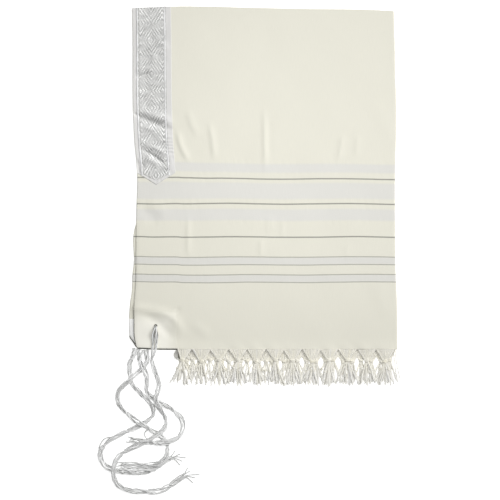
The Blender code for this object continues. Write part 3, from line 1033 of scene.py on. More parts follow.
CLOTH_CREASES = (
    Crease(((117, 600), (123, 560), (133, 528), (150, 498)), 3.4, 9.5),
    Crease(((146, 655), (157, 610), (178, 568)), 1.8, 13.0),
    Crease(((203, 622), (212, 570), (215, 500)), 2.5, 9.5),
    Crease(((354, 668), (355, 570), (352, 468)), 2.6, 8.5),
    Crease(((367, 640), (368, 560), (366, 500)), -0.9, 10.5),
    Crease(((568, 590), (562, 545), (552, 502)), 2.0, 10.0),
    Crease(((610, 590), (603, 520)), 1.3, 10.0),
    Crease(((142, 372), (143, 310), (145, 262), (158, 240)), 1.8, 9.0),
    Crease(((361, 370), (363, 310)), 1.0, 7.5),
    Crease(((373, 366), (374, 316)), 0.9, 7.5),
    Crease(((343, 306), (344, 240)), 1.4, 9.0),
    Crease(((401, 358), (402, 300)), 1.0, 7.5),
    Crease(((586, 292), (572, 240)), 1.1, 10.5),
    Crease(((4, 388), (30, 372), (66, 338)), -2.0, 18.0, 1.0),
    Crease(((20, 404), (60, 384), (96, 352)), 1.2, 18.0, 1.0),
    Crease(
        ((-60, 104), (10, 108), (52, 104), (84, 96), (110, 80), (124, 60), (136, 44), (156, 34)),
        4.0,
        12.0,
        1.0,
    ),
    Crease(((6, 84), (40, 82), (66, 70), (84, 50), (104, 36), (130, 32)), -3.2, 14.0, 1.0),
    Crease(((-60, -4), (60, -3), (130, -3), (190, -4), (280, -6)), 4.2, 20.0, 1.0),
    Crease(((160, -8), (400, -9), (650, -8)), 3.6, 23.0, 1.0),
    Crease(((560, -4), (640, -2), (700, 0), (760, 2)), 3.0, 20.0, 1.0),
    Crease(((150, 76), (180, 56), (212, 26)), 1.4, 13.5, 1.0),
    Crease(((113, 114), (122, 100)), -1.8, 8.0, 1.0),
    Crease(((640, 690), (672, 640), (700, 560)), 0.9, 24.0, 1.0),
    Crease(((648, 210), (676, 120), (690, 60)), 1.0, 21.0, 1.0),
    Crease(((250, 860), (330, 845), (420, 852)), -0.8, 39.0, 1.0),
)
BAND_CREASES = (
    Crease(((8, 730), (22, 741), (52, 750)), -2.6, 4.5, 1.0),
    Crease(((8, 748), (24, 757), (58, 764)), 1.4, 6.0, 1.0),
    Crease(((0, 652), (40, 640), (76, 626), (122, 606)), 2.4, 11.0, 1.0),
    Crease(((0, 630), (36, 622), (70, 606), (118, 590)), -2.2, 8.0, 1.0),
    Crease(((0, 641), (12, 634), (24, 628)), -1.6, 4.0, 1.0),
    Crease(((12, 606), (44, 596), (74, 582), (112, 572)), 0.8, 7.0, 1.0),
    Crease(((12, 542), (24, 536), (46, 524), (82, 494)), -2.4, 5.0, 1.0),
    Crease(((10, 560), (36, 552), (60, 542), (96, 516)), 1.9, 8.0, 1.0),
    Crease(((18, 524), (36, 512), (66, 490)), 1.2, 7.0, 1.0),
    Crease(((16, 506), (21, 484)), -1.7, 5.0, 1.0),
    Crease(((3, 520), (5, 492), (4, 464)), -1.4, 4.0, 1.0),
    Crease(((6, 700), (30, 690), (66, 694)), 0.9, 9.0, 1.0),
    Crease(((60, 840), (84, 826), (98, 800)), 0.9, 9.0, 1.0),
    Crease(((30, 862), (52, 844), (60, 818)), -1.0, 10.0, 1.0),
    Crease(((40, 590), (70, 572), (96, 548)), 0.6, 7.0, 1.0),
    Crease(((62, 812), (92, 770)), -0.8, 9.0, 1.0),
)
BACK_CREASES = (
    Crease(((905, 640), (898, 560), (886, 500)), -0.8, 7.0),
    Crease(((1075, 690), (1079, 600), (1071, 480)), -0.8, 6.0),
    Crease(((1240, 610), (1246, 540), (1238, 496)), -0.7, 8.0),
    Crease(((980, 372), (984, 300), (975, 246)), -0.7, 7.0),
    Crease(((1190, 350), (1186, 250)), -0.6, 6.0),
    Crease(((1290, 130), (1330, 96), (1384, 70)), -0.8, 12.0, 1.0),
    Crease(((1200, 40), (1290, 34), (1360, 30)), -0.7, 9.0, 1.0),
)


@dataclass
class ClothForm:
    """Where every point of the folded cloth lies.

    The outer face turns round the fold at mid-width on a roll of radius bend, and round the fold at
    mid-length on a roll of radius lip, which carries it to the inner sheet.
    """

    width: float = 710.0
    length: float = 925.0
    bend: float = 4.1
    lip: float = 1.5
    wall: float = 0.9
    middle: float = 4.1
    run_in: float = 6.0
    band_width: float = 106.0
    patch_width: float = 118.0
    patch_height: float = 103.0
    second_patch_height: float = 79.0
    patch_ramp: float = 20.0
    patch_rise: float = 0.9
    back_patch_rise: float = 1.1
    hem_step: float = 4.0
    edge_droop: float = 0.1
    edge_fall: float = 0.9
    hem_droop: float = 3.4
    corner_droop: float = 1.5
    pucker_rows: tuple[float, ...] = (184, 204, 228, 252, 345, 387, 404, 457, 477, 508)
    pucker_reach: float = 9.0
    skewed: Window = Window(20, 160, 430, 640)
    drawn_up: Window = Window(425, 450, 520, 560)
    pulled_up: Window = Window(508, 534, 602, 628)
    pulled_across: Window = Window(70, 86, 106, 124)
    knot_pitch: float = 49.5
    slope_reach: float = 1.6

    def __post_init__(self) -> None:
        """Read the edge tables, and prepare the uneven waves."""
        ups = [row.up for row in LONG_EDGE]
        self.front_edge = SmoothLine(ups, [row.front for row in LONG_EDGE])
        self.second_edge = SmoothLine(ups, [row.second for row in LONG_EDGE])
        self.back_edge = SmoothLine(ups, [row.back for row in LONG_EDGE])
        self.swell = Ripples(scale=150, height=0.22, seed=3)
        self.drift = Ripples(scale=55, height=0.07, seed=5, stretch=2.2)
        self.pucker = Ripples(scale=13, height=0.16, seed=11, stretch=5.0)

    @property
    def fold_end(self) -> float:
        """Distance across at which the back quarter begins."""
        return self.width + math.pi * self.bend

    @property
    def lip_end(self) -> float:
        """Distance up at which the inner sheet begins."""
        return self.length + math.pi * self.lip

    def place(self, across: Array, up: Array, lift: Array | float = 0.0) -> Array:
        """Find the points of the cloth's outer face, moved out by lift.

        Args:
            across: Distance across the cloth, past the fold on the back quarter.
            up: Distance up the cloth, past the lip on the inner sheet.
            lift: Distance out of the face.

        Returns:
            Points in millimetres, in the shape of the input with a last axis of three.
        """
        across, up, lift = np.broadcast_arrays(np.asarray(across, float), up, lift)
        turn = np.clip((across - self.width) / self.bend, 0, math.pi)
        share = (np.minimum(across, self.width) - np.maximum(across - self.fold_end, 0)) / self.width
        roll = np.clip((up - self.length) / self.lip, 0, math.pi)
        rise = (np.minimum(up, self.length) - np.maximum(up - self.lip_end, 0)) / self.length
        height, distance = rise * self.length, share * self.width
        front = self.front_edge(height)
        front = front + (self.second_edge(height) - front) * roll / math.pi
        edge = np.where(turn < math.pi / 2, front, self.back_edge(height))
        radius = self.bend - self.lip + (self.lip + lift) * np.cos(roll)
        x = edge + (WIDTH_FOLD(height) - self.bend - edge) * share + radius * np.sin(turn)
        hem = HEM(distance)
        y = hem + (LENGTH_FOLD(distance) - self.lip - hem) * rise + (self.lip + lift) * np.sin(roll)
        y = y + self.skew(share, height)
        z = self.middle + radius * np.cos(turn)
        return np.stack([x, y, z], axis=-1)

    def skew(self, share: Array, height: Array) -> Array:
        """How far the weft runs off square between the hem and the neckband.

        Args:
            share: Distance across the cloth, as a share of its width.
            height: Distance up the cloth.

        Returns:
            How far up each place has moved.
        """
        tilt = 2.4 * (2 * share - 1)
        wave = 0.7 * np.sin(2 * math.pi * (share * 2.3 + height / 900))
        below_band = 3.6 * smooth(0.3, 0.1, share) * self.drawn_up(height)
        return self.skewed(height) * (tilt + wave) + below_band

    def cover(self, across: Array, up: Array, height: float) -> Array:
        """Mark where a corner patch lies under or over the cloth.

        Args:
            across, up: Distances across and up the cloth.
            height: The patch's height.

        Returns:
            1 at the patch, 0 away from it, and between them on the ramp round it.
        """
        beside = np.clip(1 - (across - self.patch_width) / self.patch_ramp, 0, 1)
        above = np.clip(1 - (up - height) / self.patch_ramp, 0, 1)
        return np.minimum(beside, above)

    def relief(self, across: Array, up: Array) -> Array:
        """Add up what lifts the front quarter's face.

        Args:
            across, up: Distances across and up the cloth.

        Returns:
            How far each place is lifted by creases, ripples and what lies below.
        """
        across, up = np.broadcast_arrays(np.asarray(across, float), up)
        total = self.swell(across, up) + self.drift(across, up)
        for crease in CLOTH_CREASES:
            total = total + crease(across, up)
        near_band = smooth(self.band_width + 22, self.band_width - 4, across)
        total = total + sum(crease(across, up) for crease in BAND_CREASES) * near_band
        total = total + self.hatch(across, up)
        rows = sum(np.exp(-(((up - row) / self.pucker_reach) ** 2)) for row in self.pucker_rows)
        total = total + self.pucker(across, up) * rows + self.hem_ripples(across, up)
        fade = smooth(0, 30, self.length - up) * smooth(0, 14, self.width - across)
        total = total - self.edge_fall * smooth(9, 0, across) * smooth(360, 320, up)
        return total * fade + self.patch_rise * self.cover(across, up, self.second_patch_height)

    def hatch(self, across: Array, up: Array) -> Array:
        """Wrinkle the cloth where the seam along the band's inner side pulls.

        Args:
            across, up: Distances across and up the cloth.

        Returns:
            Height of the wrinkles.
        """
        window = self.pulled_up(up) * self.pulled_across(across)
        phase = 2 * math.pi * (up + 0.25 * across + 3.4 * np.sin(up / 11) + 1.5 * np.sin(across / 6)) / 11.5
        return 0.3 * np.sin(phase) * window * (0.7 + 0.5 * np.sin(up / 19 + across / 9))

    def painted_slope_light(self, across: Array, up: Array) -> Array:
        """Work out the painted light and shade that floats are given.

        A painted highlight on slopes that fall up and right, towards the key light, and painted light by the
        top fold and along the band's edge, which leans to the light.

        Args:
            across, up: Distances across and up the cloth.

        Returns:
            Painted brightness of each place, from 0 to 1.
        """
        reach = self.slope_reach
        rise_across = (self.relief(across + reach, up) - self.relief(across - reach, up)) / (2 * reach)
        rise_up = (self.relief(across, up + reach) - self.relief(across, up - reach)) / (2 * reach)
        # Painted light near the band's edge and by the top fold.
        painted_edge_light = 0.16 * smooth(44, 16, across) + 0.14 * smooth(850, 905, up)
        return np.clip(0.5 + painted_edge_light - 1.5 * (0.55 * rise_across + 0.85 * rise_up), 0, 1)

    def level(self, x: Array, y: Array) -> Array:
        """Find the front quarter's face below points near the tzitzit's corner.

        Args:
            x, y: Where the points are, in millimetres.

        Returns:
            Height of the face, 0 off the cloth.
        """
        up = y - HEM(0.0)
        across = x - self.front_edge(up)
        level = self.place(across, up, self.relief(across, up) + self.patch_rise)[..., 2]
        return np.where((across > -2) & (up > -2), level, 0.0)

    def droop(self, across: Array, height: Array) -> Array:
        """Hang the second quarter's edge down where it shows past the front one.

        Args:
            across: Distances across the cloth.
            height: Distances above the hem.

        Returns:
            How far down each place hangs.
        """
        beside = self.edge_droop * smooth(24, 13, across) * smooth(230, 190, height)
        below = self.hem_droop * smooth(self.patch_width + 12, self.patch_width - 4, across)
        below = below * smooth(8, -self.hem_step, height)
        corner = self.corner_droop * smooth(4.5, 0, across) * smooth(60, 40, height)
        return np.maximum(beside, below) + corner

    def hem_reach(self, across: Array, height: Array) -> Array:
        """Height above the hem, let down below it where the second quarter's hem shows."""
        shown = 0.1 + 0.9 * smooth(self.patch_width + 16, self.patch_width, across)
        return np.where(height < 0, height * shown, height)

    def hem_ripples(self, across: Array, up: Array) -> Array:
        """Pull short slanting ripples into the hem, above the fringe's knots.

        Args:
            across, up: Distances across and up the cloth.

        Returns:
            Height of the ripples.
        """
        phase = 2 * math.pi * (across + 0.5 * up - 132) / self.knot_pitch
        reach = np.exp(-((up / 16) ** 2)) * smooth(150, 260, across)
        return 0.45 * np.cos(phase) * reach * (1 + 0.5 * np.sin(across / 41))

    def skin(self, across: Array, up: Array, lift: Array | float = 0.0) -> Array:
        """Find the points of the creased front face, moved out by lift."""
        return self.place(across, up, self.relief(across, up) + lift)

    def line(self, places: Sequence[tuple[float, float]], lift: float, step: float = 3.0) -> Array:
        """Run straight between places on the front face.

        Args:
            places: Distance across and up of each end.
            lift: Distance out of the face.
            step: Widest step, in millimetres.

        Returns:
            Points in metres.
        """
        runs = []
        for start, end in zip(places, places[1:]):
            count = max(2, math.ceil(math.dist(start, end) / step) + 1)
            runs.append(np.linspace(start, end, count)[(1 if runs else 0) :])
        flat = np.concatenate(runs)
        return self.skin(flat[:, 0], flat[:, 1], lift) * MM


# ---- Sub-assemblies


@dataclass
class Eyelet:
    """Worked hole in the corner patch that the tzitzit pass through."""

    across: float = 59.0
    up: float = 61.5
    hole: float = 2.5
    ring: float = 3.8
    stitches: int = 22
    thread: float = 1.2

    def keep(self, middle: Array) -> Array:
        """Say which faces are cloth and not the hole."""
        return np.hypot(middle[:, 0] - self.across, middle[:, 1] - self.up) > self.hole

    def guides(self, form: ClothForm, lift: float) -> list[Guide]:
        """Run the buttonhole stitches from the hole's edge outwards.

        Args:
            form: The cloth.
            lift: Distance out of its face.

        Returns:
            A line for each stitch.
        """
        lines = []
        for i in range(self.stitches):
            turn = 2 * math.pi * i / self.stitches
            reach = self.ring + (1.1 if i % 2 else 0.7)
            radii = np.array([self.hole - 0.6, (self.hole + reach) / 2, reach])
            rise = np.array([-0.5, 0.5, 0.0]) + lift
            across = self.across + radii * math.cos(turn)
            up = self.up + radii * math.sin(turn)
            lines.append(Guide(form.skin(across, up, rise) * MM))
        return lines


@dataclass
class FoldedCloth:
    """The wool itself: the outer sheet with the front and back quarters, and the inner sheet."""

    form: ClothForm
    eyelet: Eyelet
    cell: float = 4.6
    coarse_cell: float = 13.0
    sunk: float = 0.55

    def outer(self, finish: Material) -> Piece:
        """Make the sheet that holds the front quarter, the fold at mid-width and the back quarter.

        Args:
            finish: Its material.

        Returns:
            The finished piece.
        """
        form = self.form
        columns = steps(
            (0, 12, 3),
            (12, form.width, self.cell),
            (form.width, form.fold_end, 1.3),
            (form.fold_end, form.fold_end + form.width, self.coarse_cell),
        )
        rows = steps((0, 12, 3), (12, form.length, self.cell), (form.length, form.lip_end, 0.8))
        rows = np.append(rows, form.lip_end + form.run_in)
        across, up = np.meshgrid(columns, rows)
        front = across <= form.width
        lift = np.where(front, form.relief(across, up), 0.0)
        inside = smooth(2, 7, across) * smooth(form.band_width - 2, form.band_width - 8, across)
        lift -= self.sunk * inside * smooth(474, 484, up) * smooth(form.length, form.length - 12, up) * front
        for crease in BACK_CREASES:
            lift += crease(across, up)
        from_edge = form.fold_end + form.width - across
        lift -= form.back_patch_rise * form.cover(from_edge, up, form.patch_height) * (across > form.fold_end)
        points = form.place(across, up, lift)
        piece = grid_piece("cloth_outer", points, across, up, finish, self.eyelet.keep)
        thicken(piece, form.wall)
        return hand_over(piece, Slot.WOOL, "cloth_front_quarter", "cloth_back_quarter")

    def inner(self, finish: Material) -> Piece:
        """Make the sheet between them, whose edge droops where it shows past the front quarter.

        Args:
            finish: Its material.

        Returns:
            The finished piece.
        """
        form = self.form
        columns = steps(
            (0, 24, 3),
            (24, form.width, self.coarse_cell),
            (form.width, form.fold_end, 1.6),
            (form.fold_end, form.fold_end + form.width, self.coarse_cell),
        )
        heights = steps((-form.hem_step, 8, 1.4), (8, 350, 5), (350, form.length, self.coarse_cell))[::-1]
        across, height = np.meshgrid(columns, heights)
        height = form.hem_reach(across, height)
        points = form.place(across, form.lip_end + form.length - height, form.droop(across, height))
        piece = grid_piece("cloth_inner", points, across, height, finish)
        thicken(piece, form.wall)
        return hand_over(piece, Slot.WOOL, "cloth_hidden_quarters")


@dataclass
class Neckband:
    """Satin band along the long edge, the brocade panel on it, and the braids that frame the panel."""

    form: ClothForm
    width: float = 106.0
    panel_start: float = 12.0
    panel_end: float = 92.0
    point: float = 444.0
    shoulder: float = 475.0
    panel_point: float = 456.0
    panel_shoulder: float = 474.0
    satin_lift: float = 0.75
    satin_wall: float = 0.6
    panel_lift: float = 1.35
    panel_wall: float = 0.5
    weave_height: float = 0.35
    tuck: float = 2.5
    left_braid: float = 13.4
    right_braid: float = 88.0
    braid: float = 5.4

    def tip(self, across: Array, start: float, end: float, point: float, shoulder: float) -> Array:
        """Height of the band's pointed end, at a distance across."""
        middle = (start + end) / 2
        return point + (shoulder - point) * np.abs(across - middle) / (end - start) * 2

    def strip(
        self, start: float, end: float, point: float, shoulder: float, cell: float
    ) -> tuple[Array, Array]:
        """Lay out a pointed strip, from its tip round the top lip.

        Args:
            start: Distance across of its left side.
            end: Distance across of its right side.
            point: Height of its tip above the hem.
            shoulder: Height at which its sides start to close.
            cell: Widest step.

        Returns:
            Distances across and up the cloth, as two grids.
        """
        half = steps((start, (start + end) / 2, cell))
        across_line = np.concatenate([half, (start + end - half[:-1])[::-1]])
        top = self.form.length + self.tuck
        shares = steps((0, 1, cell * 1.25 / (top - point)))
        across, share = np.meshgrid(across_line, shares)
        low = self.tip(across, start, end, point, shoulder)
        return across, low + (top - low) * share

    def satin(self, finish: Material) -> Piece:
        """Make the plain band.

        Args:
            finish: Its material.

        Returns:
            The finished piece.
        """
        across, up = self.strip(0.0, self.width, self.point, self.shoulder, 1.9)
        edge = smooth(0, 5, across) * smooth(0, 5, self.width - across)
        lift = self.form.relief(across, up) + self.satin_lift - 0.1 * (1 - edge)
        points = self.form.place(across, up, lift)
        # Painted light and shade by slope, for the satin's colour.
        shine = self.form.painted_slope_light(across, up)
        piece = grid_piece("neckband_satin_band", points, across, up, finish, painted_slope_light=shine)
        thicken(piece, self.satin_wall)
        return hand_over(piece, Slot.SATIN, "neckband_satin")

    def panel(self, finish: Material, drawing: Lozenges) -> Piece:
        """Make the brocade panel, whose floats stand up from its ground.

        Args:
            finish: Its material.
            drawing: The figure that the floats draw.

        Returns:
            The finished piece.
        """
        across, up = self.strip(self.panel_start, self.panel_end, self.panel_point, self.panel_shoulder, 1.45)
        lift = self.form.relief(across, up) + self.panel_lift + self.weave_height * drawing.relief(across, up)
        points = self.form.place(across, up, lift)
        # Painted light and shade by slope, for the brocade's colour.
        shine = self.form.painted_slope_light(across, up)
        piece = grid_piece("neckband_brocade_panel", points, across, up, finish, painted_slope_light=shine)
        thicken(piece, self.panel_wall)
        return hand_over(piece, Slot.BROCADE, "neckband_brocade")

    def braids(self, tree: PliedCordTree, finish: Material) -> Piece:
        """Make the two braids beside the panel.

        Args:
            tree: The tree that makes its cords.
            finish: Its material.

        Returns:
            The finished piece.
        """
        top = self.form.length + self.tuck
        lift = self.panel_lift - 1.0
        lines = [
            self.form.line([(self.left_braid, self.panel_shoulder - 6), (self.left_braid, top)], lift),
            self.form.line([(self.right_braid, self.panel_shoulder - 4), (self.right_braid, top)], lift),
        ]
        guides = []
        for seed, line in enumerate(lines):
            random = np.random.default_rng(seed + 30)
            marks = np.linspace(0, 1, 34)
            # Lighter and thicker in random stretches along each braid; the right braid is duller.
            unevenness = np.interp(np.linspace(0, 1, len(line)), marks, random.uniform(-0.1, 1.6, len(marks)))
            unevenness = np.clip(unevenness, 0, 1) * (0.95, 0.75)[seed]
            guides.append(Guide(line, 0.85 + 0.3 * unevenness, unevenness))
        sizes = {"diameter": self.braid * MM, "lay": 11 * MM, "step": 1.6 * MM, "seed": 2}
        piece = tree.grow("neckband_braids", guides, material=finish, **sizes)
        return hand_over(piece, Slot.BROCADE)

    def stitching(self, tree: StitchRowTree, finish: Material) -> Piece:
        """Make the rows of stitches along the band's edges and its pointed ends.

        Args:
            tree: The tree that makes its stitches.
            finish: Its material.

        Returns:
            The finished piece.
        """
        middle = self.width / 2
        top = self.form.length
        inset = 2.4
        lift = self.satin_lift + 0.05
        outline = [
            (self.width - inset, top),
            (self.width - inset, self.shoulder + 2),
            (middle, self.point + inset * 1.3),
            (inset, self.shoulder + 2),
            (inset, top),
        ]
        panel_middle = (self.panel_start + self.panel_end) / 2
        panel = [
            (self.panel_start + 1.6, self.panel_shoulder + 2),
            (panel_middle, self.panel_point + 2.4),
            (self.panel_end - 1.6, self.panel_shoulder + 2),
        ]
        guides = [
            Guide(self.form.line(outline, lift)),
            Guide(self.form.line(panel, self.panel_lift + 0.3)),
        ]
        piece = tree.grow(
            "neckband_stitches", guides, pitch=3.3 * MM, length=2.5 * MM, thickness=0.7 * MM, material=finish
        )
        return hand_over(piece, Slot.SATIN)


@dataclass
class CornerPatches:
    """Square reinforcements at the cloth's corners, with their topstitching and the worked eyelet."""

    form: ClothForm
    eyelet: Eyelet
    wall: float = 0.45
    lift: float = 0.5
    cell: float = 2.4
    shadow_cord_width: float = 2.9

    def front(self, finish: Material) -> Piece:
        """Make the patch on the front quarter.

        Args:
            finish: Its material.

        Returns:
            The finished piece.
        """
        form = self.form
        columns, rows = steps((0, form.patch_width, self.cell)), steps((0, form.patch_height, self.cell))
        across, up = np.meshgrid(columns, rows)
        turned = np.minimum(form.patch_width - across, form.patch_height - up)
        lift = form.relief(across, up) + self.lift - 0.6 * smooth(9, 0, turned)
        points = form.place(across, up, lift)
        piece = grid_piece("corner_patch_upper", points, across, up, finish, self.eyelet.keep)
        thicken(piece, self.wall)
        return hand_over(piece, Slot.PATCH, "corner_patch_front")

    def second(self, finish: Material) -> Piece:
        """Make the patch on the second quarter, which shows along its drooping edge.

        Args:
            finish: Its material.

        Returns:
            The finished piece.
        """
        form = self.form
        across, height = np.meshgrid(
            steps((0, 24, 3), (24, form.patch_width, 8)),
            steps((-form.hem_step, 8, 1.4), (8, form.second_patch_height, 5)),
        )
        up = form.lip_end + form.length - height
        points = form.place(across, up, form.droop(across, height) - form.wall - 0.1)
        piece = grid_piece("corner_patch_lower", points[::-1], across[::-1], height[::-1], finish)
        thicken(piece, -0.55)
        return hand_over(piece, Slot.PATCH, "corner_patch_second")

    def back(self, finish: Material) -> Piece:
        """Make the patch under the back quarter.

        Args:
            finish: Its material.

        Returns:
            The finished piece.
        """
        form = self.form
        across, up = np.meshgrid(
            form.fold_end + form.width - steps((0, form.patch_width, 5)),
            steps((0, form.patch_height, 5)),
        )
        points = form.place(across, up, -0.02)
        piece = grid_piece("corner_patch_under", points[:, ::-1], across[:, ::-1], up[:, ::-1], finish)
        thicken(piece, self.wall)
        return hand_over(piece, Slot.PATCH, "corner_patch_back")

    def stitching(self, tree: StitchRowTree, finish: Material) -> Piece:
        """Make the topstitching round the patches.

        Args:
            tree: The tree that makes its stitches.
            finish: Its material.

        Returns:
            The finished piece.
        """
        form = self.form
        inset = 3.2
        right, top = form.patch_width - inset, form.patch_height - inset
        lift = self.lift - 0.3
        square = [(inset, inset), (right, inset), (right, top), (inset, top), (inset, inset)]
        guides = [
            Guide(form.line(square, lift)),
            Guide(form.line([(13, 68), (13, 98)], lift)),
        ]
        heights = np.linspace(14, form.second_patch_height - 3, 22)
        across = np.full(heights.shape, 6.0)
        lift = form.droop(across, heights) - form.wall - 0.7
        lower = form.place(across, form.lip_end + form.length - heights, lift)
        guides.append(Guide(lower * MM))
        piece = tree.grow(
            "patch_stitches", guides, pitch=3.4 * MM, length=2.4 * MM, thickness=0.5 * MM, material=finish
        )
        return hand_over(piece, Slot.PATCH)

    def painted_shadow_cords(self, tree: PliedCordTree, finish: Material) -> Piece:
        """Make painted shadow lines: dark grey cords, drawn as overlock, on the second quarter's cut corner
        and hem, and on the front edge.

        Args:
            tree: The tree that makes its cords.
            finish: Its material.

        Returns:
            The finished piece.
        """
        form = self.form
        # Painted shadow: the cords darken the lines where the quarters' edges cast shade, darkest along the
        # hem.
        slant = np.linspace(31, 2, 14)
        along = np.linspace(2, form.patch_width + 2, 40)
        across = np.concatenate([np.full(slant.shape, -0.6), along])
        height = np.concatenate([slant, np.full(along.shape, -form.hem_step + 0.6)]) + 0.8
        height = form.hem_reach(across, height)
        lift = form.droop(across, height) - form.wall - 0.8
        low = form.place(across, form.lip_end + form.length - height, lift)
        turn = np.concatenate([slant, np.zeros(along.shape)])
        low_girth = 1 + 0.6 * np.exp(-(((turn - 15) / 7) ** 2)) - 0.3 * smooth(23, 31, turn)
        low_tone = np.full(low_girth.shape, 0.4) - 1.2 * smooth(2, 20, low[:, 0] - low[0, 0] - 12)
        ups = np.linspace(form.patch_height, 10, 32)
        high = form.skin(np.full(ups.shape, 0.5), ups, self.lift - 0.2)
        high_girth = 0.55 + 0.45 * smooth(form.patch_height, form.patch_height - 8, ups)
        high_tone = 0.9 - 0.5 * smooth(60, 20, ups)
        guides = [Guide(low * MM, low_girth, low_tone), Guide(high * MM, high_girth, high_tone)]
        sizes = {"diameter": self.shadow_cord_width * MM, "lay": 4 * MM, "step": 1.4 * MM, "seed": 8}
        piece = tree.grow("hem_overlock", guides, material=finish, **sizes)
        return hand_over(piece, Slot.WOOL)

    def worked_eyelet(self, tree: PliedCordTree, finish: Material) -> Piece:
        """Make the buttonhole stitches round the eyelet.

        Args:
            tree: The tree that makes its cords.
            finish: Its material.

        Returns:
            The finished piece.
        """
        guides = self.eyelet.guides(self.form, self.lift + 0.1)
        sizes = {"diameter": self.eyelet.thread * MM, "lay": 3 * MM, "step": 0.6 * MM, "seed": 4}
        piece = tree.grow("eyelet_stitches", guides, material=finish, **sizes)
        return hand_over(piece, Slot.PATCH)


@dataclass(frozen=True)
class FringeLayer:
    """One quarter's fringe: where it lies in the stack and how its knots fall."""

    name: str
    node: str
    hem_level: float
    knot_level: float
    tip_level: float
    shift: float
    late_shift: float
    yarns: int
    cords: int
    drop: float
    seed: int
    leads: bool = False


